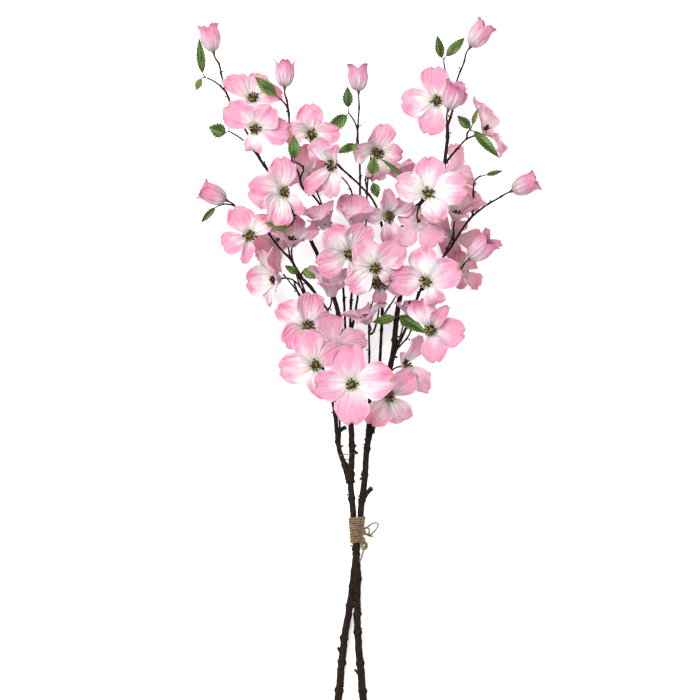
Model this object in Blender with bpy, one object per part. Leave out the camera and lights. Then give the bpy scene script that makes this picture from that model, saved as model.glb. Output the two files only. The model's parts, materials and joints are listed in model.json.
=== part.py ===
"""A bunch of two dogwood flower branches, tied with jute twine and lying on a level surface.

X runs across the bunch, Y along it from the cut ends to the highest bud, and Z is up. The origin is on
the surface, under the middle of the bunch. Lengths here are in millimetres and angles in degrees, and
each mesh is made in metres. A direction is (tilt, azimuth): the tilt away from +Z, and the azimuth in
the XY plane from +X towards +Y.
"""
import math
from functools import lru_cache
from typing import NamedTuple

import bmesh
import bpy
import numpy as np

MM = 0.001
GAP = 0.3  # left between neighbouring pieces
FLAT_ANGLE = math.radians(1)  # faces within this angle count as one flat face

# Bloom: a ring round the neck of the twig, and four bracts that grow from it.
BRACT_THICK = 0.8
RING_OUTER = 6.5
RING_HOLE = 3.2
BRACT_FOOT = 20.0  # half the angle that a bract takes up on the ring
WIDE_GAP = 60.0  # an angle between two bracts' feet that takes one more point on the ring
MID = (-1.0, 0.0, 1.0)  # places across a row of a bract
TIP = (-1.0, -0.5, 0.0, 0.5, 1.0)
PLAIN_ROWS = ((0.62, 0.98, MID), (1.0, 0.62, TIP))  # share of the length, share of the width, places
BENT_ROWS = ((0.33, 0.68, (-1.0, 1.0)), (0.64, 0.98, MID), (1.0, 0.62, TIP))
HALF_WIDTH = 0.45  # of a bract's length
NOTCH = 0.09  # depth of the notch at the tip, of a bract's length
SHOULDER = 0.16  # how far the sides of the tip stand back, of a bract's length

# Heart: the calyx behind the ring, the neck through it, and the crown of stamens before it.
NECK = 1.8
HEART_CLEAR = BRACT_THICK / 2 + GAP  # from the middle of the ring
CALYX_WIDE = 4.2
CALYX_LONG = 6.5
CROWN_FOOT = 4.2
CROWN_WIDE = 4.6  # at the four points of its top
CROWN_NARROW = 1.9  # between them
CROWN_HIGH = 5.5

# Bud: a cup of four bracts with flared, notched tips.
BUD_LONG = 34.0
BUD_WIDE = 11.6
BUD_THICK = 0.9
BUD_LEVELS = (  # round the cup: shares of its length, and shares of its width
    ((0.14,) * 8, (0.68,) * 8),
    ((0.50,) * 8, (1.0,) * 8),
    ((0.80, 1.0, 0.93, 1.0) * 4, (0.84, 1.05, 1.16, 1.05) * 4),
)

LEAF_THICK = 0.7
PETIOLE = 0.9  # half width of a leaf's stalk
TWIG = 1.25  # radius of a twig
BUD_SEAT = 2.8  # radius of the calyx under a bud
HAIRPIN = -0.3  # cosine of a twig's whole bend, past which it takes more runs
LIMB_STEP = 30.0  # length of a stem's straight runs
TWINE = 1.1  # radius of the twine

PAINTS = {
    "bark": ((0.035, 0.024, 0.018), 0.85),
    "bract": ((0.90, 0.50, 0.62), 0.65),
    "bud": ((0.86, 0.36, 0.52), 0.65),
    "leaf": ((0.11, 0.24, 0.07), 0.6),
    "twine": ((0.42, 0.29, 0.17), 0.95),
}


class Limb(NamedTuple):
    """A woody stem: its branch, its parent limb, its radii at both ends and the points it runs through."""

    branch: str
    parent: str
    radii: tuple
    points: tuple


LIMBS = {
    "left_trunk": Limb("left", "", (4.2, 3.3), (
        (-6, -417, 3.7), (-9, -380, 6.5), (-13.2, -331, 11), (-14, -290, 17), (-13.6, -250, 24.4),
        (-16.5, -217, 29), (-18.8, -185, 30.5), (-20.6, -163, 31), (-22.4, -143, 32))),
    "left_fork": Limb("left", "left_trunk", (2.9, 2.3), (
        (-22, -150, 31.5), (-31, -118, 34), (-36, -102, 35.5), (-38.8, -82, 37))),
    "left_outer": Limb("left", "left_fork", (1.9, 1.3), (
        (-38.8, -84, 37), (-44, -46, 41), (-55, -7, 45), (-60, 32, 48), (-70, 62, 51), (-78, 89, 54),
        (-92, 122, 58), (-107, 139, 61), (-119, 155, 63), (-128, 168, 64))),
    "left_inner": Limb("left", "left_fork", (1.9, 1.3), (
        (-37, -88, 37), (-40, -43, 46), (-45, 10, 52), (-48, 57, 57), (-58, 76, 60), (-76, 98, 64),
        (-86, 113, 67))),
    "left_main": Limb("left", "left_trunk", (3.1, 1.5), (
        (-22, -147, 32), (-20.4, -102, 36), (-22.2, -68, 39), (-27.6, -19, 44), (-34.8, 50, 49),
        (-43, 82, 51), (-58, 123, 54), (-73, 154, 57), (-88, 178, 60), (-108, 214, 66), (-121, 232, 70),
        (-131, 246, 72))),
    "left_high": Limb("left", "left_main", (1.5, 1.2), (
        (-128, 242, 74), (-145, 275, 68), (-160, 300, 64), (-169, 320, 62), (-175, 338, 60),
        (-180, 360, 60))),
    "left_side": Limb("left", "left_outer", (1.4, 1.1), (
        (-125, 163, 63), (-142, 177, 62), (-157, 187, 62))),
    "left_slim": Limb("left", "left_main", (1.8, 1.2), (
        (-22.5, -66, 39), (-27, -10, 47), (-29.4, 65, 52), (-34, 118, 52), (-46, 168, 53),
        (-65, 200, 58), (-79, 211, 63), (-85, 230, 69), (-92, 243, 74), (-95, 270, 80), (-96, 298, 82),
        (-98, 314, 83))),
    "left_centre": Limb("left", "left_main", (1.9, 1.2), (
        (-23, -60, 40), (-22.5, 0, 47), (-22, 65, 54), (-17, 125, 57), (-12, 167, 59), (-10.8, 233, 70),
        (-13.5, 275, 78), (-12, 305, 80))),
    "left_right": Limb("left", "left_centre", (1.6, 1.1), (
        (-22.4, 20, 49), (-16, 65, 50), (-8, 120, 54), (-3.6, 168, 59), (-2.4, 205, 68))),
    "right_trunk": Limb("right", "", (4.2, 3.2), (
        (-38, -417, 3.9), (-34.5, -380, 6.5), (-29.4, -331, 11), (-22.5, -290, 15), (-17.6, -250, 16),
        (-14, -217, 20.8), (-10.2, -185, 28), (-8.2, -163, 31), (-4.8, -137, 34), (-3.2, -109, 37),
        (1.5, -82, 40))),
    "right_thin": Limb("right", "right_trunk", (1.7, 1.3), (
        (-1, -95, 38.5), (-1.2, -68, 43), (0.4, -40, 47), (0.4, 10, 54), (0, 36, 58))),
    "right_spur": Limb("right", "right_thin", (1.2, 1.1), (
        (0.2, 28, 57), (5, 38, 59), (10, 53, 62), (12.5, 70, 66))),
    "right_mid": Limb("right", "right_trunk", (2.3, 1.3), (
        (0.5, -88, 39), (8.4, -60, 42), (11, -30, 45), (13.6, 12, 50), (15.6, 50, 55), (17, 80, 60),
        (22, 108, 65), (24, 127, 69), (19, 149, 73), (8, 190, 80), (-10, 213, 84), (-32, 233, 86))),
    "right_main": Limb("right", "right_trunk", (3.2, 1.7), (
        (1, -86, 39.5), (14, -45, 44), (28.4, 9, 51), (33, 55, 57), (37, 79, 60), (38, 107, 64),
        (36, 149, 69), (43, 170, 73), (59, 190, 78), (75, 208, 82), (86, 228, 84), (90, 239, 85),
        (93.6, 269, 90), (93.6, 285, 94))),
    "right_outer": Limb("right", "right_main", (1.9, 1.2), (
        (27, 2, 50), (47, 49, 51), (62, 89, 53), (75, 108, 58), (86, 124, 63), (98, 140, 64),
        (107, 154, 65), (121, 174, 67), (140, 190, 69), (157, 200, 70))),
    "right_side": Limb("right", "right_outer", (1.3, 1.1), (
        (66, 95, 61), (92, 101, 70), (108, 112, 77))),
    "right_high": Limb("right", "right_main", (1.5, 1.2), (
        (93.6, 280, 92), (99, 300, 74), (103, 318, 62), (106, 341, 60), (114, 362, 70))),
    "right_leafy": Limb("right", "right_main", (1.4, 1.1), (
        (90, 240, 85), (104, 256, 79), (116, 269, 73), (126, 274, 68))),
}


class Form(NamedTuple):
    """How a bract bends: its lift at the foot, its angle at the tip, its width, its cup and its rows."""

    lift: float
    tip: float
    wide: float
    cup: float
    rows: tuple


FLAT = Form(0, -12, 1.0, 3.0, PLAIN_ROWS)
CUPPED = Form(8, 20, 1.0, 5.0, PLAIN_ROWS)
CURLED = Form(0, -60, 0.92, 2.0, BENT_ROWS)
FOLDED = Form(14, 8, 0.5, 7.0, BENT_ROWS)


class Bloom(NamedTuple):
    """An open bloom: its heart, the way it faces, its opening, its bracts, its limb and where it joins it.

    A bract is its direction in the bloom's own plane, its reach from the heart, and its form.
    """

    heart: tuple
    face: tuple
    opening: float
    bracts: tuple
    limb: str
    joint: tuple


BLOOMS = {
    "bloom_01": Bloom((-140, 318, 70), (40, 80), 42, (
        (144, 44, FLAT), (75, 37, FLAT), (0, 40, FLAT), (255, 38, FLAT)), "left_high", (-158, 297)),
    "bloom_02": Bloom((-136, 281, 112), (18, 240), 28, (
        (138, 46, FLAT), (50, 44, CUPPED), (0, 46, FLAT), (258, 34, CURLED)), "left_main", (-129, 243)),
    "bloom_03": Bloom((-69, 274, 100), (15, 270), 32, (
        (92, 42, FLAT), (160, 40, CUPPED), (300, 38, FLAT), (15, 36, FLAT)), "right_mid", (-31, 232)),
    "bloom_04": Bloom((-71, 229, 46), (140, 110), 40, (
        (20, 40, FLAT), (110, 40, FLAT), (200, 40, FLAT), (290, 40, FLAT)), "left_slim", (-54, 182)),
    "bloom_05": Bloom((-44, 237, 104), (40, 200), 38, (
        (105, 40, FLAT), (48, 48, FOLDED), (232, 50, FOLDED), (286, 40, FLAT)), "right_mid", (-32, 233)),
    "bloom_06": Bloom((9, 253, 92), (25, 300), 34, (
        (152, 40, CUPPED), (85, 42, FLAT), (0, 34, FLAT), (270, 36, FLAT)), "left_right", (-2.5, 203)),
    "bloom_07": Bloom((82, 316, 70), (10, 180), 26, (
        (95, 44, FLAT), (182, 46, FLAT), (253, 44, FLAT), (15, 40, FLAT)), "right_high", (103, 318)),
    "bloom_08": Bloom((140, 279, 58), (70, 41), 30, (
        (147, 44, FOLDED), (79, 54, FLAT), (311, 40, CURLED), (251, 32, FOLDED)), "right_leafy", (125, 274)),
    "bloom_09": Bloom((102, 224, 52), (122, 20), 44, (
        (120, 44, FLAT), (30, 44, FLAT), (298, 54, FLAT), (210, 34, FLAT)), "right_main", (84, 223)),
    "bloom_10": Bloom((41, 222, 56), (80, 105), 64, (
        (195, 40, FLAT), (105, 38, FLAT), (15, 40, CURLED), (285, 40, FLAT)), "right_main", (42, 168)),
    "bloom_11": Bloom((70, 202, 135), (12, 100), 30, (
        (92, 46, FLAT), (168, 46, CUPPED), (5, 50, FLAT), (292, 40, FLAT)), "right_main", (58, 189)),
    "bloom_12": Bloom((-102, 205, 122), (24, 0), 30, (
        (176, 52, FLAT), (98, 44, FLAT), (238, 50, CUPPED), (304, 38, FOLDED)), "left_main", (-86, 175)),
    "bloom_13": Bloom((-143, 153, 103), (15, 0), 28, (
        (120, 42, FLAT), (203, 40, CURLED), (256, 40, FOLDED), (45, 34, FLAT)), "left_outer", (-114, 148)),
    "bloom_14": Bloom((-113, 149, 30), (125, 200), 38, (
        (20, 40, FLAT), (110, 40, FLAT), (200, 42, FLAT), (290, 42, FLAT)), "left_outer", (-96, 127)),
    "bloom_15": Bloom((-92, 145, 84), (58, 85), 62, (
        (175, 36, FLAT), (85, 40, FLAT), (355, 40, FLAT), (265, 36, FLAT)), "left_inner", (-84, 111)),
    "bloom_16": Bloom((-110, 102, 68), (68, 188), 52, (
        (95, 44, FLAT), (10, 36, FLAT), (262, 38, FLAT), (182, 46, CUPPED)), "left_outer", (-69, 60)),
    "bloom_17": Bloom((-53, 166, 88), (74, 108), 64, (
        (200, 40, CUPPED), (105, 42, FLAT), (14, 36, CUPPED), (280, 38, FLAT)), "left_slim", (-35, 124)),
    "bloom_18": Bloom((-16, 166, 99), (74, 90), 64, (
        (192, 36, CUPPED), (100, 50, FLAT), (17, 34, CUPPED), (285, 38, FLAT)), "left_centre", (-19, 108)),
    "bloom_19": Bloom((-24, 131, 126), (15, 300), 30, (
        (128, 46, FLAT), (64, 44, FLAT), (198, 44, FLAT), (300, 36, FLAT)), "left_centre", (-17, 125)),
    "bloom_20": Bloom((7, 114, 146), (18, 300), 30, (
        (120, 44, FLAT), (46, 46, FLAT), (212, 42, FLAT), (325, 29, CURLED)), "right_main", (38, 98)),
    "bloom_21": Bloom((11, 97, 93), (14, 300), 32, (
        (185, 24, FLAT), (100, 26, FLAT), (275, 26, FLAT), (0, 34, FLAT)), "right_spur", (12.5, 69)),
    "bloom_22": Bloom((-45, 85, 95), (74, 90), 64, (
        (180, 46, CUPPED), (90, 44, FLAT), (0, 42, CUPPED), (270, 42, FLAT)), "left_inner", (-51, 64)),
    "bloom_23": Bloom((-74, 45, 76), (25, 30), 30, (
        (150, 46, CURLED), (218, 44, FLAT), (85, 44, FLAT), (10, 36, FLAT)), "left_outer", (-70, 62)),
    "bloom_24": Bloom((-64, -1, 112), (10, 30), 28, (
        (188, 48, FLAT), (115, 46, FLAT), (282, 44, FLAT), (28, 42, FLAT)), "left_outer", (-44, -46)),
    "bloom_25": Bloom((104, 176, 84), (65, 75), 52, (
        (165, 30, FLAT), (75, 42, FLAT), (345, 44, FOLDED), (255, 40, FLAT)), "right_outer", (98, 140)),
    "bloom_26": Bloom((23, 177, 94), (25, 300), 34, (
        (102, 50, FOLDED), (44, 38, FLAT), (172, 30, FLAT), (280, 38, FLAT)), "right_mid", (23, 134)),
    "bloom_27": Bloom((60, 169, 112), (145, 300), 34, (
        (20, 34, FLAT), (110, 40, FLAT), (200, 38, FLAT), (290, 40, FLAT)), "right_main", (62, 193)),
    "bloom_28": Bloom((68, 98, 132), (12, 200), 30, (
        (92, 44, FLAT), (172, 46, CUPPED), (22, 48, FLAT), (298, 36, CURLED)), "right_outer", (75, 108)),
    "bloom_29": Bloom((74, 41, 104), (15, 200), 32, (
        (106, 42, FLAT), (54, 44, FOLDED), (-8, 46, FLAT), (283, 42, FLAT)), "right_outer", (42, 38)),
    "bloom_30": Bloom((52, 55, 77), (85, 85), 70, (
        (175, 32, FLAT), (85, 32, FLAT), (355, 32, FLAT), (265, 32, FLAT)), "right_outer", (36, 22)),
    "bloom_31": Bloom((-2, 52, 79), (75, 115), 48, (
        (205, 36, FOLDED), (115, 34, FLAT), (25, 34, FLAT), (295, 38, FLAT)), "right_thin", (0, 35)),
    "bloom_32": Bloom((-20, -24, 130), (8, 200), 28, (
        (95, 50, FLAT), (8, 54, FLAT), (272, 50, FLAT), (184, 46, FLAT)), "left_main", (-22, -80)),
    "bloom_33": Bloom((23, -37, 94), (15, 320), 28, (
        (240, 44, FLAT), (40, 42, FLAT), (302, 44, CURLED), (130, 42, FLAT)), "right_main", (8, -64)),
    "bloom_34": Bloom((-42, 22, 88), (150, 60), 34, (
        (15, 42, FLAT), (105, 42, FLAT), (195, 42, FLAT), (285, 42, FLAT)), "left_inner", (-42, -22)),
    "bloom_35": Bloom((43, -2, 54), (62, 10), 40, (
        (82, 44, CUPPED), (312, 46, FLAT), (175, 34, FLAT), (245, 36, FOLDED)), "right_main", (20, -26)),
    "bloom_36": Bloom((102, 154, 30), (140, 60), 34, (
        (55, 40, FLAT), (145, 40, FLAT), (235, 29, FLAT), (325, 40, FLAT)), "right_outer", (86, 124)),
    "bloom_37": Bloom((113, 112, 32), (125, 0), 38, (
        (45, 34, FLAT), (135, 26, FLAT), (225, 33, FLAT), (315, 29, FLAT)), "right_outer", (72, 104)),
}


class Bud(NamedTuple):
    """A closed bud: the foot of its cup, the way it points, its size, its limb and where it joins it."""

    foot: tuple
    face: tuple
    size: float
    limb: str
    joint: tuple


BUDS = {
    "bud_1": Bud((-187, 376, 60), (88, 102), 1.0, "left_high", (-180, 359)),
    "bud_2": Bud((-101, 332, 84), (86, 89), 1.0, "left_slim", (-98, 313)),
    "bud_3": Bud((-12.6, 327, 82), (86, 92), 1.0, "left_centre", (-12, 304)),
    "bud_4": Bud((122, 381, 75), (88, 54), 1.05, "right_high", (114, 361)),
    "bud_5": Bud((95, 305, 102), (70, 72), 1.0, "right_main", (93.6, 284)),
    "bud_6": Bud((172, 208, 70), (88, 25), 1.0, "right_outer", (156, 199)),
    "bud_7": Bud((-172, 197, 61), (88, 155), 1.0, "left_side", (-156, 186)),
    "bud_8": Bud((121, 127, 84), (72, 42), 1.15, "right_side", (107, 111)),
}


class Sprig(NamedTuple):
    """Leaves on one twig: the twig's end, its limb and joint, and each leaf's foot, tip and width."""

    end: tuple
    limb: str
    joint: tuple
    leaves: tuple


SPRIGS = {
    "leaves_01": Sprig((-195, 344, 61), "left_high", (-172, 328), (
        ((-200, 350, 62), (-204, 391, 66), 12), ((-202, 343, 60), (-208, 329, 57), 10))),
    "leaves_02": Sprig((-107, 318, 88), "left_slim", (-96, 292), (
        ((-112, 322, 89), (-136, 343, 91), 17),)),
    "leaves_03": Sprig((-23, 299, 80), "left_centre", (-13, 272), (
        ((-25, 308, 81), (-26, 332, 84), 14), ((-27, 298, 82), (-53, 274, 90), 18))),
    "leaves_04": Sprig((-166, 278, 74), "left_main", (-130, 244), (
        ((-172, 277, 75), (-192, 284, 77), 20), ((-168, 283, 75), (-166, 301, 78), 8))),
    "leaves_05": Sprig((-87, 240, 118), "left_slim", (-79, 212), (
        ((-89, 245, 121), (-90, 272, 124), 16), ((-92, 238, 119), (-95, 218, 110), 11))),
    "leaves_06": Sprig((0, 222, 100), "left_right", (-3, 190), (
        ((4, 226, 110), (6, 247, 116), 16), ((5, 216, 102), (10, 199, 100), 13))),
    "leaves_07": Sprig((90, 364, 62), "right_high", (104, 325), (
        ((87, 368, 63), (82, 394, 70), 13), ((93, 370, 63), (115, 392, 62), 14))),
    "leaves_08": Sprig((119, 279, 76), "right_leafy", (115, 268), (
        ((121, 283, 78), (106, 297, 82), 13), ((124, 287, 78), (130, 306, 80), 7),
        ((126, 279, 78), (156, 247, 84), 14))),
    "leaves_09": Sprig((136, 226, 66), "right_outer", (118, 171), (
        ((141, 227, 66), (161, 232, 69), 7),)),
    "leaves_10": Sprig((-181, 190, 60), "left_side", (-150, 183), (
        ((-185, 188, 60), (-202, 170, 58), 9),)),
    "leaves_11": Sprig((-80, 110, 74), "left_inner", (-80, 104), (
        ((-78, 114, 76), (-64, 102, 82), 15),)),
    "leaves_12": Sprig((34, 58, 70), "right_main", (33, 50), (
        ((31, 56, 72), (4, 50, 78), 13), ((37, 57, 73), (69, 36, 120), 17))),
}

# Short cut stubs on the thick stems: limb, foot, tip and the radii at both.
STUBS = (
    ("left_fork", (-37, -84), (-27.5, -76, 41), (2.7, 2.2)),
    ("left_fork", (-36, -102), (-31, -98, 38), (1.4, 0.8)),
    ("left_main", (-20.5, -104), (-15, -98, 38), (1.5, 0.9)),
    ("left_main", (-20.6, -114), (-13.8, -109, 37), (1.7, 1.4)),
    ("left_trunk", (-10, -372), (-17.5, -370, 9), (1.9, 1.2)),
    ("right_trunk", (-30.6, -346), (-37.6, -343, 12), (2.2, 1.3)),
    ("right_trunk", (-6.6, -151), (4, -149, 35), (2.9, 2.4)),
    ("right_trunk", (-5.6, -143), (-11, -139, 38), (1.7, 1.3)),
    ("right_main", (28, 5), (34.5, 8, 52), (1.6, 1.1)),
)

# The tie: turns of twine round both trunks, and the ends in loops at its right side.
TIE_TOP = -184.5
TIE_FOOT = -217.5
TIE_TURNS = 10
TIE_SIDES = 8
TIE_LINING = 5  # rows inside the sleeve
TIE_ENDS = (
    ((-7.5, -201, 27), (-3, -198, 31), (5, -192.5, 33), (11, -193, 33), (8.5, -200, 31), (2, -206, 30),
     (-3.5, -205, 28.5), (-7.7, -204, 26)),
    ((-7.6, -203, 26.3), (-2.5, -206, 29), (1, -208, 29.5), (6, -208, 29)),
    ((-7.5, -200, 27.5), (-4, -197.5, 33), (0, -199, 37), (0.5, -203, 37), (-3, -206, 33),
     (-7.8, -205, 26)),
    ((-8.4, -214, 23), (-3.5, -217, 27), (-2.5, -222, 29), (-6.5, -225, 30), (-8, -231, 30),
     (-11, -239, 30.5)),
)


# ---------------------------------------------------------------- directions and curves

def facing(face):
    """The unit vector of a (tilt, azimuth) pair."""
    tilt, azimuth = (math.radians(angle) for angle in face)
    return np.array((math.sin(tilt) * math.cos(azimuth), math.sin(tilt) * math.sin(azimuth),
                     math.cos(tilt)))


def plane_of(face):
    """The axis of a facing, and the two axes of its plane: +X and +Y turned the shortest way with +Z."""
    axis = facing(face)
    x, y, z = axis
    across = np.array((1 - x * x / (1 + z), -x * y / (1 + z), -x))
    along = np.array((-x * y / (1 + z), 1 - y * y / (1 + z), -y))
    return axis, across, along


def smooth(points, step):
    """Points about a step apart on the Catmull-Rom curve through the given points."""
    knots = np.array(points, float)
    knots = np.vstack((2 * knots[0] - knots[1], knots, 2 * knots[-1] - knots[-2]))
    out = []
    for before, start, end, after in zip(knots, knots[1:], knots[2:], knots[3:]):
        count = max(1, round(np.linalg.norm(end - start) / step))
        for t in np.arange(count) / count:
            out.append(0.5 * (2 * start + (end - before) * t
                              + (2 * before - 5 * start + 4 * end - after) * t ** 2
                              + (3 * start - before - 3 * end + after) * t ** 3))
    out.append(knots[-2])
    return np.array(out)


def along_limb(name, place):
    """The point of a limb's path nearest to a place in plan, the limb's direction there and its radius."""
    path, radii = limb_path(name)
    gap = np.linalg.norm(path[:, :2] - np.array(place[:2], float), axis=1)
    at = int(np.argmin(gap))
    ahead = path[min(at + 1, len(path) - 1)] - path[max(at - 1, 0)]
    return path[at], ahead / np.linalg.norm(ahead), radii[at]


@lru_cache
def limb_path(name):
    """A limb's path, which starts on its parent's, and its radius at each point of it."""
    limb = LIMBS[name]
    points = [np.array(point, float) for point in limb.points]
    if limb.parent:
        points[0] = along_limb(limb.parent, limb.points[0])[0]
    path = smooth(points, LIMB_STEP)
    return path, np.linspace(*limb.radii, len(path))


def twig_path(joint, ahead, end, arrive):
    """A twig's path: it leaves its limb forwards and arrives along the given direction."""
    span = np.linalg.norm(end - joint)
    pieces = (2 if span < 35 else 3) if ahead @ arrive > HAIRPIN else 5
    first = joint + ahead * span * 0.35
    last = end - arrive * span * 0.4
    t = np.linspace(0, 1, pieces + 1)[:, None]
    return ((1 - t) ** 3 * joint + 3 * (1 - t) ** 2 * t * first + 3 * (1 - t) * t ** 2 * last
            + t ** 3 * end)


def above_floor(points, half):
    """The points with those near or under the surface bent up, to lie half a thickness above it."""
    ease = 1.5
    points = points.copy()
    points[:, 2] = half + ease * np.logaddexp(0, (points[:, 2] - half) / ease)
    return points


# ---------------------------------------------------------------- meshes

def make_object(name, mesh):
    """A new object in the scene with the given mesh."""
    body = bpy.data.objects.new(name, mesh)
    bpy.context.scene.collection.objects.link(body)
    return body


def baked(body):
    """The body with its modifiers turned into a plain closed mesh, with no needless points in flat faces."""
    graph = bpy.context.evaluated_depsgraph_get()
    mesh = bpy.data.meshes.new_from_object(body.evaluated_get(graph))
    work = bmesh.new()
    work.from_mesh(mesh)
    bmesh.ops.remove_doubles(work, verts=work.verts, dist=1e-6)
    bmesh.ops.dissolve_degenerate(work, edges=work.edges, dist=1e-6)
    bmesh.ops.dissolve_limit(work, verts=work.verts, edges=work.edges, angle_limit=FLAT_ANGLE)
    bmesh.ops.triangulate(work, faces=work.faces)
    bmesh.ops.recalc_face_normals(work, faces=work.faces)
    work.to_mesh(mesh)
    work.free()
    name = body.name
    bpy.data.objects.remove(body)
    return make_object(name, mesh)


def stitch(row_a, row_b, at_a, at_b):
    """Triangles between two rows of vertices, each with its own spacing given in at_a and at_b."""
    faces = []
    i = j = 0
    while i < len(row_a) - 1 or j < len(row_b) - 1:
        next_a = at_a[i + 1] if i < len(row_a) - 1 else math.inf
        next_b = at_b[j + 1] if j < len(row_b) - 1 else math.inf
        if next_a + at_a[i] <= next_b + at_b[j]:
            faces.append((row_a[i], row_b[j], row_a[i + 1]))
            i += 1
        else:
            faces.append((row_a[i], row_b[j], row_b[j + 1]))
            j += 1
    return [face for face in faces if len(set(face)) == 3]


def loft(stations):
    """A closed body through rings of points.

    A station is the ring's centre, the direction through it, and the radius at each of its points.
    """
    points, faces = [], []
    row, places = (), ()
    across = np.array((0.36, 0.48, 0.8))
    for centre, way, radii in stations:
        across = across - way * (across @ way)
        across = across / np.linalg.norm(across)
        over = np.cross(way, across)
        start, count = len(points), len(radii)
        for k, radius in enumerate(radii):
            turn = math.tau * k / count
            points.append(centre + (math.cos(turn) * across + math.sin(turn) * over) * radius)
        new_row = [start + k % count for k in range(count + 1)]
        new_places = [k / count for k in range(count + 1)]
        faces += stitch(row, new_row, places, new_places) if row else fan(new_row)
        row, places = new_row, new_places
    return solid(points, faces + fan(row))


def fan(row):
    """Triangles over a flat ring of vertices that ends where it starts."""
    return [(row[0], row[k], row[k + 1]) for k in range(1, len(row) - 2)]


def solid(points, faces):
    """An object from triangles, with its normals turned to one side."""
    mesh = bpy.data.meshes.new("solid")
    mesh.from_pydata([tuple(point) for point in np.array(points) * MM], [], faces)
    work = bmesh.new()
    work.from_mesh(mesh)
    bmesh.ops.recalc_face_normals(work, faces=work.faces)
    work.to_mesh(mesh)
    work.free()
    return make_object("solid", mesh)


def stem(path, radii, sides=4):
    """The stations of a stem through the points of a path."""
    ways = np.gradient(np.array(path, float), axis=0)
    ways = ways / np.linalg.norm(ways, axis=1)[:, None]
    return [(point, way, (radius,) * sides) for point, way, radius in zip(path, ways, radii)]


def sheet(name, points, faces, thick):
    """An object from a thin triangulated surface, with its wall as a live Solidify."""
    body = solid(points, faces)
    body.name = name
    wall = body.modifiers.new("wall", "SOLIDIFY")
    wall.thickness = thick * MM
    wall.offset = 0
    return body


def fuse(name, solids):
    """One body from overlapping solids, by one union."""
    base, *rest = solids
    group = bpy.data.collections.new(name)
    for piece in rest:
        group.objects.link(piece)
    union = base.modifiers.new("union", "BOOLEAN")
    union.operation = "UNION"
    union.operand_type = "COLLECTION"
    union.collection = group
    union.solver = "MANIFOLD"
    base.name = name
    body = baked(base)
    for piece in rest:
        bpy.data.objects.remove(piece)
    bpy.data.collections.remove(group)
    return body


def paint(body, name):
    """Gives the body its own material in one of the named colours."""
    colour, rough = PAINTS[name]
    material = bpy.data.materials.new(body.name)
    material.use_nodes = True
    shader = material.node_tree.nodes["Principled BSDF"]
    shader.inputs["Base Color"].default_value = (*colour, 1)
    shader.inputs["Roughness"].default_value = rough
    shader.inputs["Metallic"].default_value = 0
    body.data.materials.clear()
    body.data.materials.append(material)
    body.data.shade_smooth()
    body.data.set_sharp_from_angle(angle=math.radians(40))


# ---------------------------------------------------------------- blooms and buds

def bract_points(bloom, bract, share, wide, across):
    """Points of one bract at a share of its length, for each place across it from -1 to 1."""
    direction, reach, form = bract
    axis, right, up = plane_of(bloom.face)
    turn = math.radians(direction)
    out = math.cos(turn) * right + math.sin(turn) * up
    side = math.cos(turn) * up - math.sin(turn) * right
    foot = math.radians(bloom.opening + form.lift)
    bend = math.radians(form.tip + 0.6 * (bloom.opening - 30)) - foot
    length = reach - RING_OUTER
    v = np.array(across)[:, None]
    back = (SHOULDER * v ** 2 + NOTCH * np.exp(-(v / 0.25) ** 2)) * share ** 4
    angle = foot + bend * (share - back)
    far = RING_OUTER + length * (np.sin(angle) - math.sin(foot)) / bend
    high = length * (math.cos(foot) - np.cos(angle)) / bend
    cup = form.cup * v ** 2 * (0.35 + 0.65 * math.sin(math.pi * share * 0.85))
    points = (np.array(bloom.heart) + out * far + axis * high
              + side * v * wide * HALF_WIDTH * length * form.wide
              + (axis * np.cos(angle) - out * np.sin(angle)) * cup)
    return above_floor(points, BRACT_THICK / 2)


def make_bloom(name, bloom):
    """A ring with a hole for the twig's neck, and four bracts with notched tips."""
    axis, right, up = plane_of(bloom.face)
    bracts = sorted(bloom.bracts, key=lambda bract: bract[0] % 360)
    starts = [bract[0] % 360 - BRACT_FOOT for bract in bracts]
    turns, feet = [], []
    for start, after in zip(starts, [*starts[1:], starts[0] + 360]):
        feet.append(len(turns))
        end = start + 2 * BRACT_FOOT
        turns += [math.radians(start), math.radians(end)]
        if after - end > WIDE_GAP:
            turns.append(math.radians((end + after) / 2))
    rim = [math.cos(turn) * right + math.sin(turn) * up for turn in turns]
    points = [np.array(bloom.heart) + spoke * RING_OUTER for spoke in rim]
    points += [np.array(bloom.heart) + (x * right + y * up) * RING_HOLE
               for x, y in ((1, 0), (0, 1), (-1, 0), (0, -1))]
    outer = list(range(len(rim))) + [0]
    hole = list(range(len(rim), len(points))) + [len(rim)]
    round_at = [turn / math.tau for turn in turns] + [turns[0] / math.tau + 1]
    faces = stitch(outer, hole, round_at, [0, 0.25, 0.5, 0.75, 1])
    for foot, bract in zip(feet, bracts):
        row, places = [foot, foot + 1], (-1.0, 1.0)
        for share, wide, across in bract[2].rows:
            start = len(points)
            points.extend(bract_points(bloom, bract, share, wide, across))
            new_row = list(range(start, len(points)))
            faces += stitch(row, new_row, places, across)
            row, places = new_row, across
    body = sheet(name, points, faces, BRACT_THICK)
    paint(body, "bract")


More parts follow.
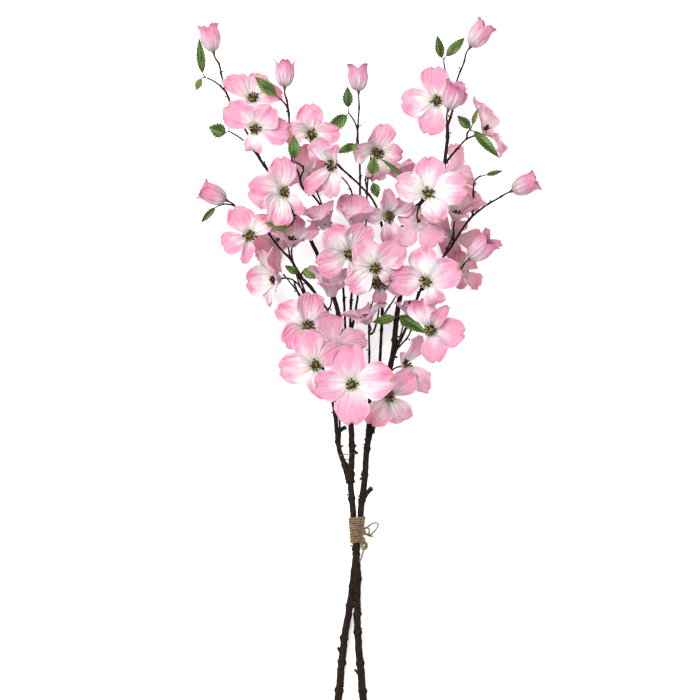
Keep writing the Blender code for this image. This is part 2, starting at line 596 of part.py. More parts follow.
def make_bud(name, bud):
    """A cup of four bracts, whose tips flare and have a notch."""
    axis, right, up = plane_of(bud.face)
    foot = np.array(bud.foot, float)
    points, faces = [foot], []
    row, places = [0] * 9, np.arange(9) / 8
    for heights, widths in BUD_LEVELS:
        start, count = len(points), len(heights)
        for k, (high, wide) in enumerate(zip(heights, widths)):
            turn = math.tau * k / count
            spoke = math.cos(turn) * right + math.sin(turn) * up
            points.append(foot + (axis * high * BUD_LONG + spoke * wide * BUD_WIDE) * bud.size)
        new_row = [start + k % count for k in range(count + 1)]
        new_places = np.arange(count + 1) / count
        faces += stitch(row, new_row, places, new_places)
        row, places = new_row, new_places
    body = sheet(name, above_floor(np.array(points), BUD_THICK / 2), faces, BUD_THICK)
    paint(body, "bud")


# ---------------------------------------------------------------- leaves

def blade(start, foot, tip, wide):
    """The thin surface of one toothed leaf with its petiole: its points and triangles."""
    foot, tip = np.array(foot, float), np.array(tip, float)
    along = tip - foot
    length = np.linalg.norm(along)
    along = along / length
    side = np.cross((0, 0, 1), along)
    side = side / np.linalg.norm(side)
    up = np.cross(along, side)
    teeth = 3 if wide > 10 else 2

    def place(share, out):
        arch = 0.07 * length * math.sin(math.pi * share)
        fold = 0.22 * abs(out) * wide
        return foot + along * length * share + up * (arch + fold) + side * out * wide

    rib_at = [k / teeth for k in range(teeth + 1)]
    points = [place(share, 0) for share in rib_at]
    points += [end + side * hand * PETIOLE for end in (foot, start) for hand in (-1, 1)]
    rib = list(range(teeth + 1))
    left, right = teeth + 1, teeth + 2
    faces = stitch([left + 2, right + 2], [left, 0, right], MID[::2], MID)
    for hand, base in ((-1, left), (1, right)):
        edge, edge_at = [base], [0.0]
        for tooth in range(teeth):
            for share, cut in (((tooth + 0.62) / teeth, 1.0), ((tooth + 0.8) / teeth, 0.8)):
                if tooth == teeth - 1 and cut < 1:
                    continue
                edge.append(len(points))
                edge_at.append(share)
                points.append(place(share, hand * cut * 0.5 * math.sin(math.pi * share ** 0.8)))
        faces += stitch(rib, edge + rib[-1:], rib_at, edge_at + [1.0])
    return points, faces


def make_sprig(name, sprig):
    """The leaves of one twig, joined where their petioles meet."""
    arrive = sprig_arrival(sprig)
    start = np.array(sprig.end, float) + arrive * 2 * GAP
    knot = np.array((start, start + arrive * 3))
    solids = [loft(stem(knot, (PETIOLE + 0.5, PETIOLE)))]
    for foot, tip, wide in sprig.leaves:
        points, faces = blade(start + arrive * 1.5, foot, tip, wide)
        solids.append(baked(sheet("blade", points, faces, LEAF_THICK)))
    paint(fuse(name, solids), "leaf")


def sprig_arrival(sprig):
    """The direction in which a sprig's twig arrives: towards the middle of its leaves' feet."""
    feet = np.mean([leaf[0] for leaf in sprig.leaves], axis=0)
    ahead = feet - np.array(sprig.end, float)
    return ahead / np.linalg.norm(ahead)


# ---------------------------------------------------------------- wood

def twig(limb, joint, end, arrive):
    """The stations of a thin stem from a limb to the given end."""
    start, ahead, radius = along_limb(limb, joint)
    path = twig_path(start, ahead, end, arrive)
    *stations, (end, _, radii) = stem(path, np.linspace(min(TWIG * 1.15, radius * 0.95), TWIG, len(path)))
    return [*stations, (end, arrive, radii)]


def bloom_stem(bloom):
    """A bloom's twig, with the calyx behind its ring, the neck through it and the crown before it."""
    axis, heart = facing(bloom.face), np.array(bloom.heart, float)
    behind, front = heart - axis * HEART_CLEAR, heart + axis * HEART_CLEAR
    return loft([
        *twig(bloom.limb, bloom.joint, behind - axis * CALYX_LONG, axis),
        (behind, axis, (CALYX_WIDE,) * 4),
        (behind, axis, (NECK,) * 4),
        (front, axis, (NECK,) * 4),
        (front, axis, (CROWN_FOOT,) * 4),
        (front + axis * CROWN_HIGH, axis, (CROWN_WIDE, CROWN_NARROW) * 4),
        (front + axis * CROWN_HIGH * 0.4, axis, (0,)),
    ])


def bud_stem(bud):
    """A bud's twig, with the calyx under its cup."""
    axis = facing(bud.face)
    seat = np.array(bud.foot, float) - axis * (BUD_THICK / 2 + GAP)
    return loft([*twig(bud.limb, bud.joint, seat - axis * 6, axis), (seat, axis, (BUD_SEAT,) * 4)])


def wood_solids(side):
    """Every stem of one branch, with its stubs, its twigs and the hearts of its blooms."""
    solids = []
    for name, limb in LIMBS.items():
        if limb.branch == side:
            path, radii = limb_path(name)
            solids.append(loft(stem(path, radii, 6 if limb.radii[0] > 2.5 else 4)))
    for limb, foot, tip, radii in STUBS:
        if LIMBS[limb].branch == side:
            solids.append(loft(stem(np.array((along_limb(limb, foot)[0], tip)), radii)))
    solids += [bloom_stem(bloom) for bloom in BLOOMS.values() if LIMBS[bloom.limb].branch == side]
    solids += [bud_stem(bud) for bud in BUDS.values() if LIMBS[bud.limb].branch == side]
    solids += [loft(twig(sprig.limb, sprig.joint, np.array(sprig.end, float), sprig_arrival(sprig)))
               for sprig in SPRIGS.values() if LIMBS[sprig.limb].branch == side]
    return solids


# ---------------------------------------------------------------- the tie

def tie_ring(level, grow):
    """Points round both trunks in the plane at a level along Y, grown past the trunks' own radius."""
    ends = []
    for name in ("left_trunk", "right_trunk"):
        path, radii = limb_path(name)
        ends.append([np.interp(level, path[:, 1], values) for values in (path[:, 0], path[:, 2], radii)])
    (left_x, left_z, radius), (right_x, right_z, _) = ends
    lean = math.atan2(right_z - left_z, right_x - left_x)
    points = []
    for k in range(TIE_SIDES):
        turn = math.tau * (k + 0.5) / TIE_SIDES
        x, z = (right_x, right_z) if math.cos(turn) > 0 else (left_x, left_z)
        size = (radius + grow) / math.cos(math.pi / TIE_SIDES)
        points.append(np.array((x + size * math.cos(turn + lean), level, z + size * math.sin(turn + lean))))
    return points


def make_tie():
    """The turns of twine as a ribbed sleeve, with the loops and ends fused on."""
    rows = [tie_ring(TIE_TOP, 0.5)]
    for k in range(2 * TIE_TURNS + 1):
        level = TIE_TOP + (TIE_FOOT - TIE_TOP) * k / (2 * TIE_TURNS)
        rows.append(tie_ring(level, 0.5 + (2 * TWINE if k % 2 else 1.3)))
    for level in np.linspace(TIE_FOOT, TIE_TOP, TIE_LINING, endpoint=False):
        rows.append(tie_ring(level, 0.5))
    points = [point for row in rows for point in row]
    faces = []
    for k in range(len(rows)):
        row = [k * TIE_SIDES + turn % TIE_SIDES for turn in range(TIE_SIDES + 1)]
        after = [(place + TIE_SIDES) % len(points) for place in row]
        faces += stitch(row, after, range(TIE_SIDES + 1), range(TIE_SIDES + 1))
    solids = [solid(points, faces)]
    for ends in TIE_ENDS:
        path = smooth(ends, 4.0)
        solids.append(loft(stem(path, [TWINE] * len(path))))
    paint(fuse("twine_tie", solids), "twine")


def main():
    """Builds the bunch."""
    for old in list(bpy.data.objects):
        bpy.data.objects.remove(old)
    for side in ("left", "right"):
        paint(fuse("branch_" + side, wood_solids(side)), "bark")
    make_tie()
    for name, bloom in BLOOMS.items():
        make_bloom(name, bloom)
    for name, bud in BUDS.items():
        make_bud(name, bud)
    for name, sprig in SPRIGS.items():
        make_sprig(name, sprig)


main()
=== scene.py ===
"""The looks of a bunch of two dogwood flower branches, tied with jute twine and lying on a level floor.

X runs across the bunch, Y along it from the cut ends to the highest bud, and Z is up. Places and sizes are
in millimetres and angles in degrees, and meshes are made in metres. A facing is (tilt, azimuth): the tilt
away from +Z, and the azimuth in the XY plane from +X towards +Y. Every skin is a grid or a set of rings
worked out as whole arrays.
"""

import json
import logging
import math
from collections.abc import Iterable
from dataclasses import dataclass
from enum import Enum
from functools import lru_cache

import bpy
import numpy as np
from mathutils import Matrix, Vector

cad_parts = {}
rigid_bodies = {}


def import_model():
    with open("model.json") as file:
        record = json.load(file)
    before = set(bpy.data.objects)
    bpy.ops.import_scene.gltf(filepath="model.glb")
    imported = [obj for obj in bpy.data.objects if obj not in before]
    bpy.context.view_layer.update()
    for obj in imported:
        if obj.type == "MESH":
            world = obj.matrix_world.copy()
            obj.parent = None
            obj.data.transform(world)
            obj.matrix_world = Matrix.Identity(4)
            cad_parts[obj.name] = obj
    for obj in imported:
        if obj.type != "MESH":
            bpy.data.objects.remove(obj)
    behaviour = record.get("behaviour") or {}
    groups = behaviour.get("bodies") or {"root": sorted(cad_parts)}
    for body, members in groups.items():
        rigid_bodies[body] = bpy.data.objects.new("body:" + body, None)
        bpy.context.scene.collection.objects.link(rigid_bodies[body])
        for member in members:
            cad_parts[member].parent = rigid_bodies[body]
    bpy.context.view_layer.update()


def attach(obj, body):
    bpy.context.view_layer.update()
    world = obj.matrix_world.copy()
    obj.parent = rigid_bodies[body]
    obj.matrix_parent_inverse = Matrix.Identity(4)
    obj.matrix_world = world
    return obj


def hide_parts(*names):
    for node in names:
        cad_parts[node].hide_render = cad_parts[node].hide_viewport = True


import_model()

LOG = logging.getLogger("dogwood")
MM = 0.001
Z_AXIS = np.array((0.0, 0.0, 1.0))
SKEW_AXIS = np.array((0.36, 0.48, 0.8))  # a guide for what may run along any main axis
GOLDEN_ANGLE = 2.39996

# Where each kind of piece starts its row of seeds.
LIMB_SEED, STUB_SEED, BLOOM_TWIG_SEED, BUD_TWIG_SEED, LEAF_TWIG_SEED, SHOOT_SEED = 40, 90, 200, 300, 400, 500
BUD_SEED, LEAF_SEED, HEART_SEED, FIBRE_SEED = 500, 700, 1000, 77

# A leaf's veins: how many it has, and how far they run forwards from its rib to its edge.
VEINS, VEIN_SLANT = 8.0, 1.9

Point = tuple[float, float, float]
Place = tuple[float, float]
Facing = tuple[float, float]
Colour = tuple[float, float, float]


# ---------------------------------------------------------------- the plan of the bunch

@dataclass(frozen=True)
class Limb:
    """A woody stem: its parent limb, its radii at both ends and the points it runs through."""

    parent: str
    radii: tuple[float, float]
    points: tuple[Point, ...]


@dataclass(frozen=True)
class Bend:
    """How a bract bends: its lift at the foot, its angle at the tip, its width and its cup."""

    lift: float
    tip: float
    wide: float
    cup: float


class BractForm(Enum):
    """The forms that a bract takes."""

    FLAT = Bend(0, -12, 1.0, 3.0)
    CUPPED = Bend(8, 20, 1.0, 5.0)
    CURLED = Bend(0, -60, 0.92, 2.0)
    FOLDED = Bend(14, 8, 0.5, 7.0)


FLAT, CUPPED, CURLED, FOLDED = BractForm


@dataclass(frozen=True)
class Bloom:
    """An open bloom: its heart, the way it faces, its opening, its bracts, its limb and where it joins it.

    A bract is its direction in the bloom's own plane, its reach from the heart, and its form.
    """

    heart: Point
    face: Facing
    opening: float
    bracts: tuple[tuple[float, float, BractForm], ...]
    limb: str
    joint: Place


@dataclass(frozen=True)
class Bud:
    """A closed bud: the foot of its cup, the way it points, its size, its limb and where it joins it."""

    foot: Point
    face: Facing
    size: float
    limb: str
    joint: Place


@dataclass(frozen=True)
class Sprig:
    """Leaves on one twig: the twig's end, its limb and joint, and each leaf's foot, tip and width."""

    end: Point
    limb: str
    joint: Place
    leaves: tuple[tuple[Point, Point, float], ...]


@dataclass(frozen=True)
class Stub:
    """A short cut shoot on a thick stem: its limb, its foot, its tip and the radii at both."""

    limb: str
    foot: Place
    tip: Point
    radii: tuple[float, float]


@dataclass(frozen=True)
class Shoot:
    """A bare shoot: the limb that it grows from, its course from there, and its width against a twig's."""

    limb: str
    points: tuple[Point, ...]
    wide: float = 1.0


Plan = Bloom | Bud | Sprig | Stub | Shoot

LIMB_STEP = 30.0  # between the points that twigs join
TWIG_STEP = 2.2

LIMBS: dict[str, Limb] = {
    "left_trunk": Limb("", (4.2, 3.3), (
        (-6, -417, 3.7), (-9, -380, 6.5), (-13.2, -331, 11), (-14, -290, 17), (-13.6, -250, 24.4),
        (-16.5, -217, 29), (-18.8, -185, 30.5), (-20.6, -163, 31), (-22.4, -143, 32))),
    "left_fork": Limb("left_trunk", (2.9, 2.3), (
        (-22, -150, 31.5), (-31, -118, 34), (-36, -102, 35.5), (-38.8, -82, 37))),
    "left_outer": Limb("left_fork", (1.9, 1.3), (
        (-38.8, -84, 37), (-44, -46, 41), (-55, -7, 45), (-60, 32, 48), (-70, 62, 51), (-78, 89, 54),
        (-92, 122, 58), (-107, 139, 61), (-119, 155, 63), (-128, 168, 64))),
    "left_inner": Limb("left_fork", (1.9, 1.3), (
        (-37, -88, 37), (-40, -43, 46), (-45, 10, 52), (-48, 57, 57), (-58, 76, 60), (-76, 98, 64),
        (-86, 113, 67))),
    "left_main": Limb("left_trunk", (3.1, 1.5), (
        (-22, -147, 32), (-20.4, -102, 36), (-22.2, -68, 39), (-27.6, -19, 44), (-34.8, 50, 49),
        (-43, 82, 51), (-58, 123, 54), (-73, 154, 57), (-88, 178, 60), (-108, 214, 66), (-121, 232, 70),
        (-131, 246, 72))),
    "left_high": Limb("left_main", (1.5, 1.2), (
        (-128, 242, 74), (-145, 275, 68), (-160, 300, 64), (-169, 320, 62), (-175, 338, 60),
        (-180, 360, 60))),
    "left_side": Limb("left_outer", (1.4, 1.1), (
        (-125, 163, 63), (-142, 177, 62), (-157, 187, 62))),
    "left_slim": Limb("left_main", (1.8, 1.2), (
        (-22.5, -66, 39), (-27, -10, 47), (-29.4, 65, 52), (-34, 118, 52), (-46, 168, 53),
        (-65, 200, 58), (-79, 211, 63), (-85, 230, 69), (-92, 243, 74), (-95, 270, 80), (-96, 298, 82),
        (-98, 314, 83))),
    "left_centre": Limb("left_main", (1.9, 1.2), (
        (-23, -60, 40), (-22.5, 0, 47), (-22, 65, 54), (-17, 125, 57), (-12, 167, 59), (-10.8, 233, 70),
        (-13.5, 275, 78), (-12, 305, 80))),
    "left_right": Limb("left_centre", (1.6, 1.1), (
        (-22.4, 20, 49), (-16, 65, 50), (-8, 120, 54), (-3.6, 168, 59), (-2.4, 205, 68))),
    "right_trunk": Limb("", (4.2, 3.2), (
        (-38, -417, 3.9), (-34.5, -380, 6.5), (-29.4, -331, 11), (-22.5, -290, 15), (-17.6, -250, 16),
        (-14, -217, 20.8), (-10.2, -185, 28), (-8.2, -163, 31), (-4.8, -137, 34), (-3.2, -109, 37),
        (1.5, -82, 40))),
    "right_thin": Limb("right_trunk", (1.7, 1.3), (
        (-1, -95, 38.5), (-1.2, -68, 43), (0.4, -40, 47), (0.4, 10, 54), (0, 36, 58))),
    "right_spur": Limb("right_thin", (1.2, 1.1), (
        (0.2, 28, 57), (5, 38, 59), (10, 53, 62), (12.5, 70, 66))),
    "right_mid": Limb("right_trunk", (2.3, 1.3), (
        (0.5, -88, 39), (8.4, -60, 42), (11, -30, 45), (13.6, 12, 50), (15.6, 50, 55), (17, 80, 60),
        (22, 108, 65), (24, 127, 69), (19, 149, 73), (8, 190, 80), (-10, 213, 84), (-32, 233, 86))),
    "right_main": Limb("right_trunk", (3.2, 1.7), (
        (1, -86, 39.5), (14, -45, 44), (28.4, 9, 51), (33, 55, 57), (37, 79, 60), (38, 107, 64),
        (36, 149, 69), (43, 170, 73), (59, 190, 78), (75, 208, 82), (86, 228, 84), (90, 239, 85),
        (93.6, 269, 90), (93.6, 285, 94))),
    "right_outer": Limb("right_main", (1.9, 1.2), (
        (27, 2, 50), (47, 49, 51), (62, 89, 53), (75, 108, 58), (86, 124, 63), (98, 140, 64),
        (107, 154, 65), (121, 174, 67), (140, 190, 69), (157, 200, 70))),
    "right_side": Limb("right_outer", (1.3, 1.1), (
        (66, 95, 61), (92, 101, 70), (108, 112, 77))),
    "right_high": Limb("right_main", (1.5, 1.2), (
        (93.6, 280, 92), (99, 300, 74), (103, 318, 62), (106, 341, 60), (114, 362, 70))),
    "right_leafy": Limb("right_main", (1.4, 1.1), (
        (90, 240, 85), (104, 256, 79), (116, 269, 73), (126, 274, 68))),
}

BLOOMS: dict[str, Bloom] = {
    "bloom_01": Bloom((-140, 318, 70), (40, 80), 42, (
        (144, 44, FLAT), (75, 37, FLAT), (0, 40, FLAT), (255, 38, FLAT)), "left_high", (-158, 297)),
    "bloom_02": Bloom((-136, 281, 112), (18, 240), 28, (
        (138, 46, FLAT), (50, 44, CUPPED), (0, 46, FLAT), (258, 34, CURLED)), "left_main", (-129, 243)),
    "bloom_03": Bloom((-69, 274, 100), (15, 270), 32, (
        (92, 42, FLAT), (160, 40, CUPPED), (300, 38, FLAT), (15, 36, FLAT)), "right_mid", (-31, 232)),
    "bloom_04": Bloom((-71, 229, 46), (140, 110), 40, (
        (20, 40, FLAT), (110, 40, FLAT), (200, 40, FLAT), (290, 40, FLAT)), "left_slim", (-54, 182)),
    "bloom_05": Bloom((-44, 237, 104), (40, 200), 38, (
        (105, 40, FLAT), (48, 48, FOLDED), (232, 50, FOLDED), (286, 40, FLAT)), "right_mid", (-32, 233)),
    "bloom_06": Bloom((9, 253, 92), (25, 300), 34, (
        (152, 40, CUPPED), (85, 42, FLAT), (0, 34, FLAT), (270, 36, FLAT)), "left_right", (-2.5, 203)),
    "bloom_07": Bloom((82, 316, 70), (10, 180), 26, (
        (95, 44, FLAT), (182, 46, FLAT), (253, 44, FLAT), (15, 40, FLAT)), "right_high", (103, 318)),
    "bloom_08": Bloom((140, 279, 58), (70, 41), 30, (
        (147, 44, FOLDED), (79, 54, FLAT), (311, 40, CURLED), (251, 32, FOLDED)), "right_leafy", (125, 274)),
    "bloom_09": Bloom((102, 224, 52), (122, 20), 44, (
        (120, 44, FLAT), (30, 44, FLAT), (298, 54, FLAT), (210, 34, FLAT)), "right_main", (84, 223)),
    "bloom_10": Bloom((41, 222, 56), (80, 105), 64, (
        (195, 40, FLAT), (105, 38, FLAT), (15, 40, CURLED), (285, 40, FLAT)), "right_main", (42, 168)),
    "bloom_11": Bloom((70, 202, 135), (12, 100), 30, (
        (92, 46, FLAT), (168, 46, CUPPED), (5, 50, FLAT), (292, 40, FLAT)), "right_main", (58, 189)),
    "bloom_12": Bloom((-102, 205, 122), (24, 0), 30, (
        (176, 52, FLAT), (98, 44, FLAT), (238, 50, CUPPED), (304, 38, FOLDED)), "left_main", (-86, 175)),
    "bloom_13": Bloom((-143, 153, 103), (15, 0), 28, (
        (120, 42, FLAT), (203, 40, CURLED), (256, 40, FOLDED), (45, 34, FLAT)), "left_outer", (-114, 148)),
    "bloom_14": Bloom((-113, 149, 30), (125, 200), 38, (
        (20, 40, FLAT), (110, 40, FLAT), (200, 42, FLAT), (290, 42, FLAT)), "left_outer", (-96, 127)),
    "bloom_15": Bloom((-92, 145, 84), (58, 85), 62, (
        (175, 36, FLAT), (85, 40, FLAT), (355, 40, FLAT), (265, 36, FLAT)), "left_inner", (-84, 111)),
    "bloom_16": Bloom((-110, 102, 68), (68, 188), 52, (
        (95, 44, FLAT), (10, 36, FLAT), (262, 38, FLAT), (182, 46, CUPPED)), "left_outer", (-69, 60)),
    "bloom_17": Bloom((-53, 166, 88), (74, 108), 64, (
        (200, 40, CUPPED), (105, 42, FLAT), (14, 36, CUPPED), (280, 38, FLAT)), "left_slim", (-35, 124)),
    "bloom_18": Bloom((-16, 166, 99), (74, 90), 64, (
        (192, 36, CUPPED), (100, 50, FLAT), (17, 34, CUPPED), (285, 38, FLAT)), "left_centre", (-19, 108)),
    "bloom_19": Bloom((-24, 131, 126), (15, 300), 30, (
        (128, 46, FLAT), (64, 44, FLAT), (198, 44, FLAT), (300, 36, FLAT)), "left_centre", (-17, 125)),
    "bloom_20": Bloom((7, 114, 146), (18, 300), 30, (
        (120, 44, FLAT), (46, 46, FLAT), (212, 42, FLAT), (325, 29, CURLED)), "right_main", (38, 98)),
    "bloom_21": Bloom((11, 97, 93), (14, 300), 32, (
        (185, 24, FLAT), (100, 26, FLAT), (275, 26, FLAT), (0, 34, FLAT)), "right_spur", (12.5, 69)),
    "bloom_22": Bloom((-45, 85, 95), (74, 90), 64, (
        (180, 46, CUPPED), (90, 44, FLAT), (0, 42, CUPPED), (270, 42, FLAT)), "left_inner", (-51, 64)),
    "bloom_23": Bloom((-74, 45, 76), (25, 30), 30, (
        (150, 46, CURLED), (218, 44, FLAT), (85, 44, FLAT), (10, 36, FLAT)), "left_outer", (-70, 62)),
    "bloom_24": Bloom((-64, -1, 112), (10, 30), 28, (
        (188, 48, FLAT), (115, 46, FLAT), (282, 44, FLAT), (28, 42, FLAT)), "left_outer", (-44, -46)),
    "bloom_25": Bloom((104, 176, 84), (65, 75), 52, (
        (165, 30, FLAT), (75, 42, FLAT), (345, 44, FOLDED), (255, 40, FLAT)), "right_outer", (98, 140)),
    "bloom_26": Bloom((23, 177, 94), (25, 300), 34, (
        (102, 50, FOLDED), (44, 38, FLAT), (172, 30, FLAT), (280, 38, FLAT)), "right_mid", (23, 134)),
    "bloom_27": Bloom((60, 169, 112), (145, 300), 34, (
        (20, 34, FLAT), (110, 40, FLAT), (200, 38, FLAT), (290, 40, FLAT)), "right_main", (62, 193)),
    "bloom_28": Bloom((68, 98, 132), (12, 200), 30, (
        (92, 44, FLAT), (172, 46, CUPPED), (22, 48, FLAT), (298, 36, CURLED)), "right_outer", (75, 108)),
    "bloom_29": Bloom((74, 41, 104), (15, 200), 32, (
        (106, 42, FLAT), (54, 44, FOLDED), (-8, 46, FLAT), (283, 42, FLAT)), "right_outer", (42, 38)),
    "bloom_30": Bloom((52, 55, 77), (85, 85), 70, (
        (175, 32, FLAT), (85, 32, FLAT), (355, 32, FLAT), (265, 32, FLAT)), "right_outer", (36, 22)),
    "bloom_31": Bloom((-2, 52, 79), (75, 115), 48, (
        (205, 36, FOLDED), (115, 34, FLAT), (25, 34, FLAT), (295, 38, FLAT)), "right_thin", (0, 35)),
    "bloom_32": Bloom((-20, -24, 130), (8, 200), 28, (
        (95, 50, FLAT), (8, 54, FLAT), (272, 50, FLAT), (184, 46, FLAT)), "left_main", (-22, -80)),
    "bloom_33": Bloom((23, -37, 94), (15, 320), 28, (
        (240, 44, FLAT), (40, 42, FLAT), (302, 44, CURLED), (130, 42, FLAT)), "right_main", (8, -64)),
    "bloom_34": Bloom((-42, 22, 88), (150, 60), 34, (
        (15, 42, FLAT), (105, 42, FLAT), (195, 42, FLAT), (285, 42, FLAT)), "left_inner", (-42, -22)),
    "bloom_35": Bloom((43, -2, 54), (62, 10), 40, (
        (82, 44, CUPPED), (312, 46, FLAT), (175, 34, FLAT), (245, 36, FOLDED)), "right_main", (20, -26)),
    "bloom_36": Bloom((102, 154, 30), (140, 60), 34, (
        (55, 40, FLAT), (145, 40, FLAT), (235, 29, FLAT), (325, 40, FLAT)), "right_outer", (86, 124)),
    "bloom_37": Bloom((113, 112, 32), (125, 0), 38, (
        (45, 34, FLAT), (135, 26, FLAT), (225, 33, FLAT), (315, 29, FLAT)), "right_outer", (72, 104)),
}

BUDS: dict[str, Bud] = {
    "bud_1": Bud((-187, 376, 60), (88, 102), 1.0, "left_high", (-180, 359)),
    "bud_2": Bud((-101, 332, 84), (86, 89), 1.0, "left_slim", (-98, 313)),
    "bud_3": Bud((-12.6, 327, 82), (86, 92), 1.0, "left_centre", (-12, 304)),
    "bud_4": Bud((122, 381, 75), (88, 54), 1.05, "right_high", (114, 361)),
    "bud_5": Bud((95, 305, 102), (70, 72), 1.0, "right_main", (93.6, 284)),
    "bud_6": Bud((172, 208, 70), (88, 25), 1.0, "right_outer", (156, 199)),
    "bud_7": Bud((-172, 197, 61), (88, 155), 1.0, "left_side", (-156, 186)),
    "bud_8": Bud((121, 127, 84), (72, 42), 1.15, "right_side", (107, 111)),
}

SPRIGS: dict[str, Sprig] = {
    "leaves_01": Sprig((-195, 344, 61), "left_high", (-172, 328), (
        ((-200, 350, 62), (-204, 391, 66), 12), ((-202, 343, 60), (-208, 329, 57), 10))),
    "leaves_02": Sprig((-107, 318, 88), "left_slim", (-96, 292), (
        ((-112, 322, 89), (-136, 343, 91), 17),)),
    "leaves_03": Sprig((-23, 299, 80), "left_centre", (-13, 272), (
        ((-25, 308, 81), (-26, 332, 84), 14), ((-27, 298, 82), (-53, 274, 90), 18))),
    "leaves_04": Sprig((-166, 278, 74), "left_main", (-130, 244), (
        ((-172, 277, 75), (-192, 284, 77), 20), ((-168, 283, 75), (-166, 301, 78), 8))),
    "leaves_05": Sprig((-87, 240, 118), "left_slim", (-79, 212), (
        ((-89, 245, 121), (-90, 272, 124), 16), ((-92, 238, 119), (-95, 218, 110), 11))),
    "leaves_06": Sprig((0, 222, 100), "left_right", (-3, 190), (
        ((4, 226, 110), (6, 247, 116), 16), ((5, 216, 102), (10, 199, 100), 13))),
    "leaves_07": Sprig((90, 364, 62), "right_high", (104, 325), (
        ((87, 368, 63), (82, 394, 70), 13), ((93, 370, 63), (115, 392, 62), 14))),
    "leaves_08": Sprig((119, 279, 76), "right_leafy", (115, 268), (
        ((121, 283, 78), (106, 297, 82), 13), ((124, 287, 78), (130, 306, 80), 7),
        ((126, 279, 78), (156, 247, 84), 14))),
    "leaves_09": Sprig((136, 226, 66), "right_outer", (118, 171), (
        ((141, 227, 66), (161, 232, 69), 7),)),
    "leaves_10": Sprig((-181, 190, 60), "left_side", (-150, 183), (
        ((-185, 188, 60), (-202, 170, 58), 9),)),
    "leaves_11": Sprig((-80, 110, 74), "left_inner", (-80, 104), (
        ((-78, 114, 76), (-64, 102, 82), 15),)),
    "leaves_12": Sprig((34, 58, 70), "right_main", (33, 50), (
        ((31, 56, 72), (4, 50, 78), 13), ((37, 57, 73), (69, 36, 120), 17))),
}

# Thin shoots among the twigs. Each starts on its limb, and ends in a nub or at a flower's calyx.
SHOOTS = (
    Shoot("left_outer", ((-60, 32, 48), (-68, 46, 54), (-76, 62, 58), (-84, 82, 61), (-90, 99, 64))),
    Shoot("left_outer", ((-70, 62, 51), (-82, 82, 57), (-94, 97, 60), (-103, 108, 62))),
    Shoot("left_inner", ((-58, 76, 60), (-70, 94, 66), (-83, 106, 70), (-96, 112, 72))),
    Shoot("left_outer", ((-58, 20, 47), (-68, 56, 58), (-77, 79, 66), (-85, 100, 71), (-91, 122, 75),
                         (-93, 137, 78))),
    Shoot("left_outer", ((-60, 32, 48), (-54, 48, 56), (-55, 64, 61), (-62, 80, 64), (-68, 92, 66))),
    Shoot("left_right", ((-8, 120, 54), (-14, 165, 62), (-20, 188, 68), (-21, 207, 74), (-29, 220, 80),
                         (-37, 226, 84))),
    Shoot("left_fork", ((-36, -98, 36), (-35, -82, 38), (-36, -62, 41), (-40, -46, 44), (-46, -28, 48)), 1.3),
    Shoot("right_trunk", ((-3, -112, 37), (-2.5, -92, 41), (-1.5, -74, 45), (0, -56, 49), (4, -30, 52)), 1.8),
    Shoot("right_thin", ((0, 30, 57), (0, 50, 63), (3, 70, 70), (9, 86, 78), (12, 95, 84))),
    Shoot("right_mid", ((15.6, 50, 55), (20, 62, 59), (29, 76, 63), (36, 88, 66))),
    Shoot("right_main", ((14, -45, 44), (24, -10, 55), (33, 16, 60), (41, 46, 65), (49, 76, 70))),
    Shoot("right_outer", ((62, 89, 53), (70, 112, 63), (64, 142, 68), (60, 166, 73), (67, 186, 79))),
)

STUBS = (
    Stub("left_fork", (-37, -84), (-27.5, -76, 41), (2.7, 2.2)),
    Stub("left_fork", (-36, -102), (-31, -98, 38), (1.4, 0.8)),
    Stub("left_main", (-20.5, -104), (-15, -98, 38), (1.5, 0.9)),
    Stub("left_main", (-20.6, -114), (-13.8, -109, 37), (1.7, 1.4)),
    Stub("left_trunk", (-10, -372), (-17.5, -370, 9), (1.9, 1.2)),
    Stub("right_trunk", (-30.6, -346), (-37.6, -343, 12), (2.2, 1.3)),
    Stub("right_trunk", (-6.6, -151), (4, -149, 35), (2.9, 2.4)),
    Stub("right_trunk", (-5.6, -143), (-11, -139, 38), (1.7, 1.3)),
    Stub("right_main", (28, 5), (34.5, 8, 52), (1.6, 1.1)),
)

TIE_ENDS = (
    ((-7.5, -201, 27), (-3, -198, 31), (5, -192.5, 33), (11, -193, 33), (8.5, -200, 31), (2, -206, 30),
     (-3.5, -205, 28.5), (-7.7, -204, 26)),
    ((-7.6, -203, 26.3), (-2.5, -206, 29), (1, -208, 29.5), (6, -208, 29)),
    ((-7.5, -200, 27.5), (-4, -197.5, 33), (0, -199, 37), (0.5, -203, 37), (-3, -206, 33),
     (-7.8, -205, 26)),
    ((-8.4, -214, 23), (-3.5, -217, 27), (-2.5, -222, 29), (-6.5, -225, 30), (-8, -231, 30),
     (-11, -239, 30.5)),
)

# Small leaves between the flowers, each on a twig of its own.
SMALL_SPRIGS: dict[str, Sprig] = {
    "small_leaf_1": Sprig((-94, 166, 92), "left_main", (-88, 178), (
        ((-98, 163, 98), (-124, 168, 104), 13),)),
    "small_leaf_2": Sprig((30, 131, 84), "right_mid", (24, 118), (
        ((31, 125, 90), (20, 89, 96), 12),)),
    "small_leaf_3": Sprig((-15, 266, 92), "left_centre", (-13, 262), (
        ((-15, 264, 97), (-17, 246, 104), 10), ((-16, 262, 95), (-39, 252, 102), 12))),
    "small_leaf_4": Sprig((46, 219, 114), "right_main", (60, 192), (
        ((43, 222, 117), (14, 245, 112), 7),)),
    "small_leaf_5": Sprig((-85, 107, 72), "left_inner", (-80, 104), (
        ((-86, 109, 74), (-101, 118, 80), 10),)),
}
ALL_SPRIGS = {**SPRIGS, **SMALL_SPRIGS}


# ---------------------------------------------------------------- directions, curves and skins

